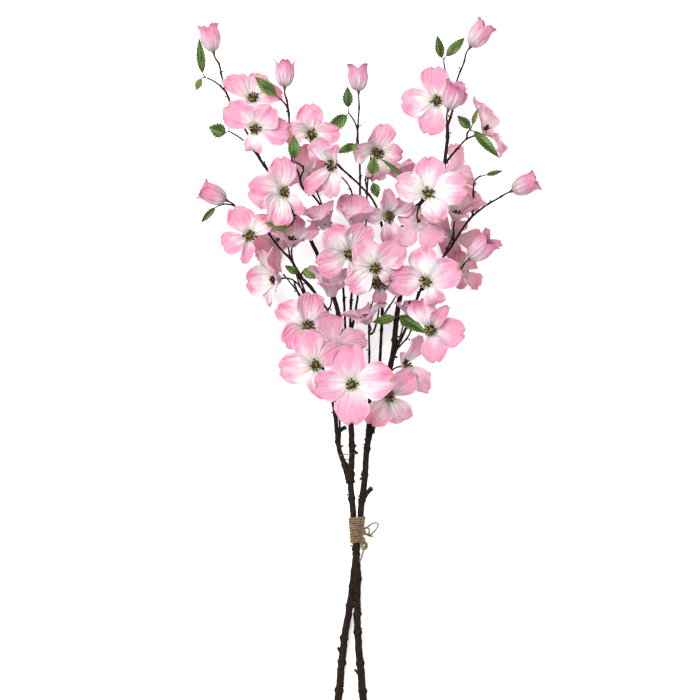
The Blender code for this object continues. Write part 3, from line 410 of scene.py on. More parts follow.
def facing(face: Facing) -> np.ndarray:
    """The unit vector of a facing."""
    tilt, azimuth = np.radians(face)
    return np.array((np.sin(tilt) * np.cos(azimuth), np.sin(tilt) * np.sin(azimuth), np.cos(tilt)))


def plane_of(face: Facing) -> tuple[np.ndarray, np.ndarray, np.ndarray]:
    """The axis of a facing and the two axes of its plane.

    The plane's axes are +X and +Y, turned the shortest way that takes +Z to the axis.

    Args:
        face: The facing.

    Returns:
        The axis, the axis across and the axis along, as unit vectors.
    """
    x, y, z = axis = facing(face)
    across = np.array((1 - x * x / (1 + z), -x * y / (1 + z), -x))
    along = np.array((-x * y / (1 + z), 1 - y * y / (1 + z), -y))
    return axis, across, along


def unit(vectors: np.ndarray) -> np.ndarray:
    """The vectors along the last axis, each made one long."""
    return vectors / np.maximum(np.linalg.norm(vectors, axis=-1, keepdims=True), 1e-9)


def bell(value: np.ndarray, centre: float, width: float) -> np.ndarray:
    """A rounded bump: e to the power of minus the squared distance from the centre, in widths."""
    return np.exp(-((value - centre) / width) ** 2)


def circle(count: int) -> np.ndarray:
    """Even angles once round, as an array of (1, count)."""
    return (math.tau * np.arange(count) / count)[None]


def swung(turn: np.ndarray, across: np.ndarray, over: np.ndarray) -> np.ndarray:
    """The directions at some angles between two axes: cos turn x across + sin turn x over."""
    return np.cos(turn)[..., None] * across + np.sin(turn)[..., None] * over


def travelled(path: np.ndarray) -> np.ndarray:
    """The distance along a path at each of its points."""
    return np.concatenate(([0], np.cumsum(np.linalg.norm(np.diff(path, axis=0), axis=1))))


def on_branch(side: str, plans: Iterable[Plan]) -> list[tuple[int, Plan]]:
    """The plans that grow on the branch of one side, each with its number among all."""
    return [(number, plan) for number, plan in enumerate(plans) if plan.limb.startswith(side)]


def smooth(points: tuple[Point, ...] | np.ndarray, step: float) -> np.ndarray:
    """Points about a step apart on the Catmull-Rom curve through the given points.

    Between two neighbours the curve is the cubic that leaves and arrives at half the distance between
    their own neighbours on either side.

    Args:
        points: The points that the curve runs through.
        step: The distance between the new points.

    Returns:
        The new points, an array of (count, xyz).
    """
    knots = np.array(points, float)
    knots = np.vstack((2 * knots[0] - knots[1], knots, 2 * knots[-1] - knots[-2]))
    runs = []
    for before, start, end, after in zip(knots, knots[1:], knots[2:], knots[3:]):
        count = max(1, round(np.linalg.norm(end - start) / step))
        t = (np.arange(count) / count)[:, None]
        runs.append(0.5 * (2 * start + (end - before) * t
                           + (2 * before - 5 * start + 4 * end - after) * t ** 2
                           + (3 * start - before - 3 * end + after) * t ** 3))
    return np.vstack((*runs, knots[-2]))


@lru_cache
def limb_path(name: str) -> tuple[np.ndarray, np.ndarray, np.ndarray]:
    """The course of a limb, which starts on its parent's.

    Args:
        name: The limb's name.

    Returns:
        The points that twigs join, the limb's radius at each of them, and the knots of its curve.
    """
    limb = LIMBS[name]
    knots = np.array(limb.points, float)
    if limb.parent:
        knots[0] = along_limb(limb.parent, limb.points[0])[0]
    path = smooth(knots, LIMB_STEP)
    return path, np.linspace(*limb.radii, len(path)), knots


def along_limb(name: str, place: Place | Point) -> tuple[np.ndarray, np.ndarray, float]:
    """The joint on a limb that is nearest to a place in plan.

    Args:
        name: The limb's name.
        place: The place in plan, of which X and Y are read.

    Returns:
        The joint, the limb's direction there and its radius.
    """
    path, radii, _ = limb_path(name)
    at = int(np.argmin(np.linalg.norm(path[:, :2] - np.array(place[:2], float), axis=1)))
    ahead = path[min(at + 1, len(path) - 1)] - path[max(at - 1, 0)]
    return path[at], unit(ahead), float(radii[at])


def twig_path(joint: np.ndarray, ahead: np.ndarray, end: np.ndarray, arrive: np.ndarray) -> np.ndarray:
    """The course of a twig: a cubic that leaves its limb forwards and arrives along a direction.

    Args:
        joint: Where it starts, on its limb's middle line.
        ahead: The limb's direction.
        end: Where it ends.
        arrive: The direction in which it ends.

    Returns:
        Points about a TWIG_STEP apart.
    """
    span = np.linalg.norm(end - joint)
    first, last = joint + ahead * span * 0.35, end - arrive * span * 0.4
    t = np.linspace(0, 1, max(6, round(1.15 * span / TWIG_STEP)))[:, None]
    return (1 - t) ** 3 * joint + 3 * (1 - t) ** 2 * t * first + 3 * (1 - t) * t ** 2 * last + t ** 3 * end


def above_floor(points: np.ndarray, half: float, ease: float = 1.5) -> np.ndarray:
    """The points with those near or under the floor bent up, by a soft step, to lie on it.

    Args:
        points: An array whose last axis is xyz.
        half: Half the thickness of what lies on the floor.
        ease: The height in mm over which the step is spread.

    Returns:
        The bent points.
    """
    bent = points.copy()
    bent[..., 2] = half + ease * np.logaddexp(0, (points[..., 2] - half) / ease)
    return bent


@dataclass
class Skin:
    """Closed surfaces as arrays: points in mm, triangles, and named values at the points."""

    points: np.ndarray
    faces: np.ndarray
    values: dict[str, np.ndarray]

    def outward(self) -> "Skin":
        """Turns the triangles so that the volume inside them is positive.

        Returns:
            The skin itself.
        """
        a, b, c = (self.points[self.faces[:, k]] for k in range(3))
        if np.einsum("ij,ij->", a, np.cross(b, c)) < 0:
            self.faces = self.faces[:, ::-1]
        return self

    @staticmethod
    def joined(skins: list["Skin"]) -> "Skin":
        """Several skins as one, with a value that a skin lacks taken as 0.

        Args:
            skins: The skins.

        Returns:
            One skin that holds them all.
        """
        starts = np.cumsum([0] + [len(skin.points) for skin in skins[:-1]])
        names = sorted({name for skin in skins for name in skin.values})
        return Skin(
            np.vstack([skin.points for skin in skins]),
            np.vstack([skin.faces + start for skin, start in zip(skins, starts)]),
            {name: np.concatenate([skin.values.get(name, np.zeros(len(skin.points))) for skin in skins])
             for name in names},
        )

    def object(self, name: str, material: bpy.types.Material) -> bpy.types.Object:
        """A smooth object in the scene with this skin, its values as attributes, and one material.

        Args:
            name: The object's name.
            material: Its finish.

        Returns:
            The object, at the origin with its place in its mesh.
        """
        mesh = bpy.data.meshes.new(name)
        mesh.vertices.add(len(self.points))
        mesh.vertices.foreach_set("co", (self.points * MM).astype(np.float32).ravel())
        mesh.loops.add(self.faces.size)
        mesh.loops.foreach_set("vertex_index", self.faces.astype(np.int32).ravel())
        mesh.polygons.add(len(self.faces))
        mesh.polygons.foreach_set("loop_start", np.arange(0, self.faces.size, 3, dtype=np.int32))
        mesh.update(calc_edges=True)
        mesh.shade_smooth()
        for label, value in self.values.items():
            attribute = mesh.attributes.new(label, "FLOAT", "POINT")
            attribute.data.foreach_set("value", value.astype(np.float32))
        mesh.materials.append(material)
        piece = bpy.data.objects.new(name, mesh)
        bpy.context.scene.collection.objects.link(piece)
        return piece


def split_quads(a: np.ndarray, b: np.ndarray, c: np.ndarray, d: np.ndarray) -> np.ndarray:
    """Two triangles for each four corners given in order round a face."""
    halves = np.stack((a, b, c), -1), np.stack((a, c, d), -1)
    return np.concatenate([half.reshape(-1, 3) for half in halves])


def sheet(middle: np.ndarray, thick: np.ndarray | float, **values: np.ndarray | float) -> Skin:
    """A thin closed sheet round a middle surface.

    Its front and back lie half the thickness off the middle surface along the cross product of the
    grid's two directions, and a rim joins them all round.

    Args:
        middle: The middle surface, an array of (row, place, xyz).
        thick: The thickness, a number or one for each point of the grid.
        **values: Named values, each a number or one for each point of the grid.

    Returns:
        The sheet, with the value "behind" 0 on its front and 1 on its back.
    """
    rows, places = middle.shape[:2]
    off = unit(np.cross(np.gradient(middle, axis=0), np.gradient(middle, axis=1)))
    off = off * (np.broadcast_to(thick, (rows, places)) / 2)[..., None]
    points = np.concatenate((middle + off, (middle - off)[:, ::-1]), axis=1)
    index = np.arange(rows * 2 * places).reshape(rows, 2 * places)
    after = np.roll(index, -1, axis=1)
    side = split_quads(index[:-1], after[:-1], after[1:], index[1:])
    k = np.arange(places - 1)
    near, far = index[0], index[-1]
    ends = [split_quads(row[a], row[b], row[2 * places - 1 - b], row[2 * places - 1 - a])
            for row, a, b in ((near, k + 1, k), (far, k, k + 1))]
    both = {name: np.broadcast_to(value, (rows, places)) for name, value in values.items()}
    both = {name: np.concatenate((value, value[:, ::-1]), axis=1).ravel() for name, value in both.items()}
    both["behind"] = np.tile(np.repeat((0.0, 1.0), places), rows)
    return Skin(points.reshape(-1, 3), np.vstack((side, *ends)), both).outward()


def ringed(rings: np.ndarray, poles: np.ndarray, **values: np.ndarray | float) -> Skin:
    """Closed bodies through rings of points, each closed at both ends by a fan to a pole.

    Args:
        rings: The rings, an array of (body, ring, place round it, xyz).
        poles: The two poles of each body, an array of (body, 2, xyz).
        **values: Named values, each a number or an array that spreads over (body, ring, place).

    Returns:
        All the bodies in one skin.
    """
    bodies, rows, places = rings.shape[:3]
    size = rows * places + 2
    points = np.concatenate((rings.reshape(bodies, -1, 3), poles), axis=1)
    index = np.arange(rows * places).reshape(rows, places)
    after = np.roll(index, -1, axis=1)
    side = split_quads(index[:-1], after[:-1], after[1:], index[1:])
    near = np.stack((after[0], index[0], np.full(places, size - 2)), -1)
    far = np.stack((index[-1], after[-1], np.full(places, size - 1)), -1)
    faces = np.vstack((side, near, far))[None] + (np.arange(bodies) * size)[:, None, None]
    spread = {}
    for name, value in values.items():
        full = np.broadcast_to(value, (bodies, rows, places))
        ends = full[:, (0, -1)].mean(axis=2)
        spread[name] = np.concatenate((full.reshape(bodies, -1), ends), axis=1).ravel()
    return Skin(points.reshape(-1, 3), faces.reshape(-1, 3), spread).outward()


def tube(path: np.ndarray, radii: np.ndarray, sides: int, guide: np.ndarray,
         **values: np.ndarray | float) -> Skin:
    """A round body along a path, with flat ends.

    Ring k has its points at path[k] + radius x (cos t across + sin t over), where across is the guide's
    cross product with the path's direction, and over is square to both.

    Args:
        path: The middle line, an array of (ring, xyz).
        radii: The radius of each ring, or of each point of each ring.
        sides: The points round a ring.
        guide: A direction that the path never takes.
        **values: Named values, each a number or an array that spreads over (ring, place).

    Returns:
        The body.
    """
    ways = unit(np.gradient(path, axis=0))
    across = unit(np.cross(guide, ways))
    over = np.cross(ways, across)
    spokes = swung(circle(sides), across[:, None], over[:, None])
    wide = np.broadcast_to(radii if radii.ndim == 2 else radii[:, None], (len(path), sides))
    rings = path[:, None] + spokes * wide[..., None]
    return ringed(rings[None], path[None, (0, -1)], **values)


def rods(starts: np.ndarray, ways: np.ndarray, longs: np.ndarray, shape: np.ndarray, sides: int,
         **values: np.ndarray | float) -> Skin:
    """Many small straight round bodies of one shape.

    Args:
        starts: The foot of each, an array of (body, xyz).
        ways: The direction of each, an array of (body, xyz).
        longs: The length of each.
        shape: Rows of (share of the length, radius) from foot to tip.
        sides: The points round each.
        **values: Named values, each a number or an array that spreads over (body, ring, place).

    Returns:
        All of them in one skin, with the value "reach" running from 0 at the feet to 1 at the tips.
    """
    guide = np.where(np.abs(ways[:, 2:]) < 0.8, Z_AXIS, np.roll(Z_AXIS, 1))
    across = unit(np.cross(ways, guide))
    over = np.cross(ways, across)
    spokes = swung(circle(sides), across[:, None], over[:, None])
    middle = starts[:, None] + ways[:, None] * longs[:, None, None] * shape[None, :, :1]
    rings = middle[:, :, None] + spokes[:, None] * shape[None, :, 1, None, None]
    return ringed(rings, middle[:, (0, -1)], reach=shape[None, :, :1], **values)


# ---------------------------------------------------------------- finishes

Input = float | tuple | bpy.types.NodeSocket


@dataclass
class Tree:
    """Adds the nodes of one material or group, and links them as it goes."""

    tree: bpy.types.NodeTree

    def feed(self, node: bpy.types.Node, inputs: dict[int | str, Input]) -> None:
        """Feeds a node.

        Args:
            node: The node.
            inputs: What each input gets: a plain value, or another node's output.
        """
        for name, value in inputs.items():
            if isinstance(value, bpy.types.NodeSocket):
                self.tree.links.new(value, node.inputs[name])
            else:
                node.inputs[name].default_value = value

    def node(self, kind: str, inputs: dict[int | str, Input] | None = None,
             **settings: object) -> bpy.types.Node:
        """A new node with its settings made and its inputs fed.

        Args:
            kind: The node's type, without "ShaderNode".
            inputs: What each input gets: a plain value, or another node's output.
            **settings: The node's own settings.

        Returns:
            The node.
        """
        made = self.tree.nodes.new("ShaderNode" + kind)
        for name, value in settings.items():
            setattr(made, name, value)
        self.feed(made, inputs or {})
        return made

    def math(self, operation: str, first: Input, second: Input = 0.5) -> bpy.types.NodeSocket:
        """The result of one sum on two values."""
        return self.node("Math", {0: first, 1: second}, operation=operation).outputs[0]

    def times(self, first: Input, second: Input) -> bpy.types.NodeSocket:
        """The product of two values."""
        return self.math("MULTIPLY", first, second)

    def plus(self, first: Input, second: Input) -> bpy.types.NodeSocket:
        """The sum of two values."""
        return self.math("ADD", first, second)

    def less(self, first: Input, second: Input) -> bpy.types.NodeSocket:
        """The first value less the second."""
        return self.math("SUBTRACT", first, second)

    def step(self, value: Input, low: float, high: float, least: float = 0,
             most: float = 1) -> bpy.types.NodeSocket:
        """A soft step from least to most as the value goes from low to high."""
        inputs = {0: value, 1: low, 2: high, 3: least, 4: most}
        return self.node("MapRange", inputs, interpolation_type="SMOOTHSTEP").outputs[0]

    def near(self, value: Input, centre: float, width: float) -> bpy.types.NodeSocket:
        """1 where the value is at the centre, falling softly to 0 at a width from it."""
        return self.step(self.math("ABSOLUTE", self.less(value, centre)), 0, width, 1, 0)

    def blend(self, share: Input, first: Input, second: Input) -> bpy.types.NodeSocket:
        """Two colours mixed by a share."""
        return self.node("Mix", {0: share, 6: first, 7: second}, data_type="RGBA").outputs[2]

    def cover(self, share: Input, under: Input, colour: Colour) -> bpy.types.NodeSocket:
        """A colour with another laid over a share of it."""
        return self.blend(share, under, (*colour, 1))

    def value(self, name: str) -> bpy.types.NodeSocket:
        """A named value of the piece's points."""
        return self.node("Attribute", attribute_name=name).outputs["Fac"]

    def noise(self, scale: Input, detail: float = 3.0, where: Input | None = None) -> bpy.types.NodeSocket:
        """Noise from about 0.2 to 0.8, in the piece's own space unless told where."""
        where = where or self.node("TexCoord").outputs["Object"]
        return self.node("TexNoise", {"Vector": where, "Scale": scale, "Detail": detail}).outputs[0]

    def ramp(self, value: Input, stops: tuple[tuple[float, Colour], ...]) -> bpy.types.NodeSocket:
        """A colour read off a row of stops.

        Args:
            value: Where it is read, from 0 to 1.
            stops: The place and the colour of each stop.

        Returns:
            The colour.
        """
        made = self.node("ValToRGB", {0: value})
        elements = made.color_ramp.elements
        while len(elements) < len(stops):
            elements.new(0.5)
        for element, (place, colour) in zip(elements, stops):
            element.position = place
            element.color = (*colour, 1)
        return made.outputs[0]


def group(name: str, inputs: dict[str, float],
          outputs: tuple[str, ...]) -> tuple[Tree, bpy.types.Node, bpy.types.Node]:
    """A new group of nodes with named number sockets.

    Args:
        name: The group's name.
        inputs: Its inputs, with their plain values.
        outputs: Its outputs.

    Returns:
        The tree, its input node and its output node.
    """
    tree = bpy.data.node_groups.new(name, "ShaderNodeTree")
    for label, value in inputs.items():
        tree.interface.new_socket(label, in_out="INPUT", socket_type="NodeSocketFloat").default_value = value
    for label in outputs:
        tree.interface.new_socket(label, in_out="OUTPUT", socket_type="NodeSocketFloat")
    return Tree(tree), tree.nodes.new("NodeGroupInput"), tree.nodes.new("NodeGroupOutput")


@lru_cache
def streaks() -> bpy.types.NodeTree:
    """Streaks that run along a surface: fine lines, and soft blotches drawn out lengthwise.

    Its inputs are the places across and along the surface, a seed, and how many streaks cross it.

    Returns:
        The group.
    """
    made, start, end = group("streaks", {"Across": 0, "Along": 0, "Seed": 0, "Count": 8}, ("Line", "Blotch"))
    across, along, seed, count = (start.outputs[name] for name in ("Across", "Along", "Seed", "Count"))
    seed = made.times(seed, 31.0)
    fine = made.node("CombineXYZ", {0: made.times(across, count), 1: along, 2: seed})
    slow = made.node("CombineXYZ", {0: across, 1: along, 2: seed})
    line, blotch = made.noise(1.6, 2.0, fine.outputs[0]), made.noise(1.7, 2.0, slow.outputs[0])
    made.feed(end, {"Line": made.step(line, 0.30, 0.70), "Blotch": made.step(blotch, 0.25, 0.75)})
    return made.tree


@lru_cache
def grain() -> bpy.types.NodeTree:
    """Fine irregular grain in the piece's own space: its input is the grains to a metre.

    Returns:
        The group.
    """
    made, start, end = group("grain", {"Scale": 900}, ("Fine", "Coarse"))
    scale = start.outputs["Scale"]
    made.feed(end, {"Fine": made.noise(scale, 4.0), "Coarse": made.noise(made.times(scale, 0.2), 2.0)})
    return made.tree


@dataclass(frozen=True)
class Finish:
    """A finish: its name, roughness, gloss and sheen, and how far light goes in.

    Then come its relief's depth in metres, its glow, its grains to a metre and its streaks across a piece.
    """

    name: str
    rough: float = 0.6
    gloss: float = 0.25
    sheen: float = 0.0
    soft: float = 0.0
    relief: float = 0.0002
    glow: float = 0.0
    grains: float = 900.0
    lines: float = 3.0
    rough_swing: float = 0.08

    def paint(self, made: Tree) -> tuple[Input, Input]:
        """The colour and the height of the finish, as outputs of nodes. Each kind of finish has its own."""
        raise NotImplementedError

    def grained(self, made: Tree) -> tuple[Input, Input]:
        """The fine and the coarse grain, from the grain group in a material's tree."""
        node = made.node("Group", {"Scale": self.grains}, node_tree=grain())
        return node.outputs["Fine"], node.outputs["Coarse"]

    def streaked(self, made: Tree) -> tuple[Input, Input]:
        """The streaks group, placed in a material and fed with the piece's own values.

        Args:
            made: The material's tree.

        Returns:
            The lines and the blotches.
        """
        inputs = {"Across": made.value("across"), "Along": made.value("along"),
                  "Seed": made.value("tone"), "Count": self.lines}
        node = made.node("Group", inputs, node_tree=streaks())
        return node.outputs["Line"], node.outputs["Blotch"]

    def material(self) -> bpy.types.Material:
        """A new material with this finish, a little smoother where its relief stands high.

        Returns:
            The material.
        """
        material = bpy.data.materials.new(self.name)
        material.use_nodes = True
        made = Tree(material.node_tree)
        shader = material.node_tree.nodes["Principled BSDF"]
        colour, height = self.paint(made)
        bump = made.node("Bump", {"Strength": 1.0, "Distance": self.relief, "Height": height})
        rough = made.step(height, 0.0, 1.0, self.rough + self.rough_swing, self.rough - self.rough_swing)
        made.feed(shader, {"Base Color": colour, "Normal": bump.outputs[0], "Roughness": rough,
                           "Specular IOR Level": self.gloss, "Sheen Weight": self.sheen,
                           "Sheen Roughness": 0.5, "Emission Strength": self.glow})
        if self.soft:
            made.feed(shader, {"Subsurface Weight": self.soft, "Subsurface Radius": (1.0, 0.45, 0.4),
                               "Subsurface Scale": 0.003})
        return material


@dataclass(frozen=True)
class BractFinish(Finish):
    """A bract: warm white at its foot, pink outwards, pale-edged, with painted crease shade and a browned
    notch at its tip.
    """

    foot: Colour = (0.66, 0.60, 0.36)
    white: Colour = (0.66, 0.63, 0.60)
    blush: Colour = (0.585, 0.43, 0.495)
    pink: Colour = (0.535, 0.25, 0.36)
    hot: Colour = (0.52, 0.10, 0.24)
    back: Colour = (0.49, 0.24, 0.32)
    crease_shade: Colour = (0.36, 0.19, 0.25)
    notch: Colour = (0.24, 0.17, 0.06)
    blush_at: float = 0.19
    blush_to: float = 0.44
    pink_at: float = 0.74
    foot_to: float = 0.11
    crease_shade_depth: float = 0.38
    grains: float = 2600.0
    lines: float = 3.6

    def paint(self, made: Tree) -> tuple[Input, Input]:
        """The looks of a bract, laid on from white through pink to the painted crease shade and the notch.

        The place on the ramp is the place along it, shifted by blotches, by fine lines, by the distance
        from its middle and by the bract's own tone.

        Args:
            made: The material's tree.

        Returns:
            The colour and the height.
        """
        along, across, tone = made.value("along"), made.value("across"), made.value("tone")
        line, blotch = self.streaked(made)
        side = made.math("ABSOLUTE", across)
        drift = made.plus(made.times(made.less(blotch, 0.5), 0.40), made.times(made.less(line, 0.5), 0.06))
        place = made.plus(along, made.plus(drift, made.times(side, 0.12)))
        place = made.plus(place, made.times(made.less(tone, 0.5), 0.44))
        stops = ((0.0, self.white), (self.blush_at, self.white), (self.blush_to, self.blush),
                 (self.pink_at, self.pink), (1.0, self.pink))
        colour = made.ramp(place, stops)
        colour = made.cover(made.step(along, 0.0, self.foot_to, 0.70, 0.0), colour, self.foot)
        patch = made.times(made.near(along, 0.86, 0.30), made.step(blotch, 0.55, 0.95, 0.0, 0.70))
        colour = made.cover(patch, colour, self.hot)
        behind = made.times(made.value("behind"), made.step(along, 0.0, 1.0, 0.75, 0.40))
        colour = made.cover(behind, colour, self.back)
        colour = made.cover(made.step(side, 0.90, 1.0, 0.0, 0.35), colour, self.white)
        # Painted shade: the streak lines are darkened towards the crease colour, most near the foot, as if
        # shade lay in creases.
        crease_shade = made.times(line, made.step(along, 0.05, 0.95, self.crease_shade_depth, 0.4 * self.crease_shade_depth))
        colour = made.cover(crease_shade, colour, self.crease_shade)
        notch = made.times(made.value("notch"), made.step(made.noise(900), 0.3, 0.6, 0.55, 1.0))
        colour = made.cover(notch, colour, self.notch)
        return colour, made.plus(made.times(line, 0.7), made.times(self.grained(made)[0], 0.3))


@dataclass(frozen=True)
class HeartFinish(Finish):
    """A heart: a yellow-green button with painted shade in its hollows, and dark red-brown rods with
    near-black heads, some with pollen.
    """

    button: Colour = (0.36, 0.37, 0.075)
    hollow_shade: Colour = (0.21, 0.22, 0.045)
    rod: Colour = (0.085, 0.014, 0.009)
    head: Colour = (0.012, 0.004, 0.003)
    pollen: Colour = (0.30, 0.20, 0.05)
    dust: Colour = (0.05, 0.04, 0.02)
    grains: float = 2200.0

    def paint(self, made: Tree) -> tuple[Input, Input]:
        """The looks of a heart, with every fifth rod tipped in pollen.

        Args:
            made: The material's tree.

        Returns:
            The colour and the height.
        """
        fine, _ = self.grained(made)
        reach = made.value("reach")
        # Painted shade: the button is darkened where its bumps dip, as if shade lay in the hollows.
        button = made.cover(made.step(made.value("rise"), 0.25, 0.85), (*self.hollow_shade, 1), self.button)
        rod = made.cover(made.step(reach, 0.45, 0.75), (*self.rod, 1), self.head)
        pale = made.times(made.step(made.value("tone"), 0.80, 0.9), made.step(reach, 0.7, 0.9, 0.0, 0.7))
        rod = made.cover(pale, rod, self.pollen)
        colour = made.blend(made.value("rod"), button, rod)
        return made.cover(made.step(fine, 0.4, 0.7, 0.0, 0.35), colour, self.dust), fine


@dataclass(frozen=True)
class BarkFinish(Finish):
    """Bark: near-black brown with paler flecks, warmer on thin shoots and pale where it is cut."""

    dark: Colour = (0.009, 0.006, 0.005)
    brown: Colour = (0.023, 0.015, 0.010)
    fleck: Colour = (0.070, 0.056, 0.042)
    young: Colour = (0.024, 0.009, 0.007)
    cut: Colour = (0.20, 0.14, 0.08)
    green: Colour = (0.10, 0.11, 0.03)
    grains: float = 900.0

    def paint(self, made: Tree) -> tuple[Input, Input]:
        """The looks of bark, with the skin of young shoots where the girth is small.

        Args:
            made: The material's tree.

        Returns:
            The colour and the height.
        """
        fine, coarse = self.grained(made)
        ridges = made.plus(made.times(fine, 0.5), made.times(coarse, 0.5))
        colour = made.cover(made.step(ridges, 0.38, 0.66), (*self.dark, 1), self.brown)
        colour = made.cover(made.step(fine, 0.60, 0.72, 0.0, 0.55), colour, self.fleck)
        colour = made.cover(made.step(made.value("girth"), 1.2, 2.4, 0.6, 0.0), colour, self.young)
        colour = made.cover(made.value("calyx"), colour, self.green)
        return made.cover(made.value("cut"), colour, self.cut), ridges


@dataclass(frozen=True)
class LeafFinish(Finish):
    """A leaf: mid green between darker veins, a dull pale back, and a brownish stalk."""

    light: Colour = (0.130, 0.215, 0.040)
    deep: Colour = (0.020, 0.046, 0.009)
    rib: Colour = (0.010, 0.024, 0.005)
    back: Colour = (0.11, 0.15, 0.06)
    edge: Colour = (0.30, 0.34, 0.12)
    stalk: Colour = (0.040, 0.032, 0.014)
    grains: float = 2400.0
    lines: float = 3.0

    def paint(self, made: Tree) -> tuple[Input, Input]:
        """The looks of a leaf, with its veins where the slant of its blade passes a half.

        Args:
            made: The material's tree.

        Returns:
            The colour and the height.
        """
        along, across, tone = made.value("along"), made.value("across"), made.value("tone")
        side = made.math("ABSOLUTE", across)
        slant = made.less(made.times(along, VEINS), made.times(side, VEIN_SLANT))
        vein = made.near(made.math("FRACT", slant), 0.5, 0.34)
        shade = made.plus(made.times(self.streaked(made)[1], 0.5), made.times(tone, 0.5))
        colour = made.cover(made.step(shade, 0.25, 0.75), (*self.deep, 1), self.light)
        colour = made.cover(made.times(vein, 0.65), colour, self.deep)
        colour = made.cover(made.times(made.near(across, 0.0, 0.10), 0.9), colour, self.rib)
        colour = made.cover(made.times(made.value("behind"), 0.6), colour, self.back)
        colour = made.cover(made.step(side, 0.86, 1.0, 0.0, 0.35), colour, self.edge)
        colour = made.cover(made.value("stalk"), colour, self.stalk)
        raised = made.plus(0.7, made.times(self.grained(made)[0], 0.3))
        return colour, made.less(raised, made.times(vein, 0.5))


@dataclass(frozen=True)
class TwineFinish(Finish):
    """Jute twine: tan fibres laid along each ply, with shade painted dark into the grooves between the plies.
    """

    tan: Colour = (0.29, 0.185, 0.092)
    dark: Colour = (0.045, 0.024, 0.011)
    straw: Colour = (0.46, 0.34, 0.19)
    grains: float = 1500.0
    lines: float = 9.0

    def paint(self, made: Tree) -> tuple[Input, Input]:
        """The looks of twine.

        Args:
            made: The material's tree.

        Returns:
            The colour and the height.
        """
        line, _ = self.streaked(made)
        fine, coarse = self.grained(made)
        # Painted shade: the dark colour fills the grooves between the plies, where the ply value is low; on
        # the fine thread, whose ply value is 0, it is that thread's own dark colour.
        colour = made.cover(made.value("ply"), (*self.dark, 1), self.tan)
        colour = made.cover(made.times(line, 0.45), colour, self.straw)
        colour = made.cover(made.step(coarse, 0.35, 0.7, 0.50, 0.0), colour, self.dark)
        return colour, made.plus(made.times(line, 0.6), made.times(fine, 0.4))


@dataclass(frozen=True)
class FloorFinish(Finish):
    """A plain pale floor."""

    pale: Colour = (0.95, 0.95, 0.95)
    shade: Colour = (0.91, 0.91, 0.91)
    grains: float = 60.0

    def paint(self, made: Tree) -> tuple[Input, Input]:
        """The colour and the height of the floor."""
        fine, _ = self.grained(made)
        return made.cover(made.step(fine, 0.3, 0.7, 0.0, 0.03), (*self.pale, 1), self.shade), fine


BRACT = BractFinish("bract pink", rough=0.62, sheen=0.08, soft=0.45, relief=0.0016)
# The bud's crease colour and depth paint shade into the folds of its cup.
BUD = BractFinish("bud pink", rough=0.60, sheen=0.08, soft=0.15, relief=0.0014,
                  foot=(0.27, 0.22, 0.19), white=(0.55, 0.46, 0.48), blush=(0.54, 0.32, 0.41),
                  pink=(0.54, 0.20, 0.315), back=(0.52, 0.19, 0.30), crease_shade=(0.27, 0.12, 0.18),
                  notch=(0.17, 0.10, 0.035), blush_at=0.10, pink_at=0.60, foot_to=0.27, crease_shade_depth=0.65)
HEART = HeartFinish("flower heart", rough=0.7, gloss=0.08, relief=0.0003)
BARK = BarkFinish("bark", rough=0.9, gloss=0.06, relief=0.0006)
LEAF = LeafFinish("leaf green", rough=0.55, gloss=0.18, soft=0.08, relief=0.0003)
TWINE = TwineFinish("jute twine", rough=0.9, gloss=0.1, sheen=0.15, relief=0.0003)
FLOOR = FloorFinish("pale floor", rough=0.8, relief=0.00001, glow=0.32)


# ---------------------------------------------------------------- blooms

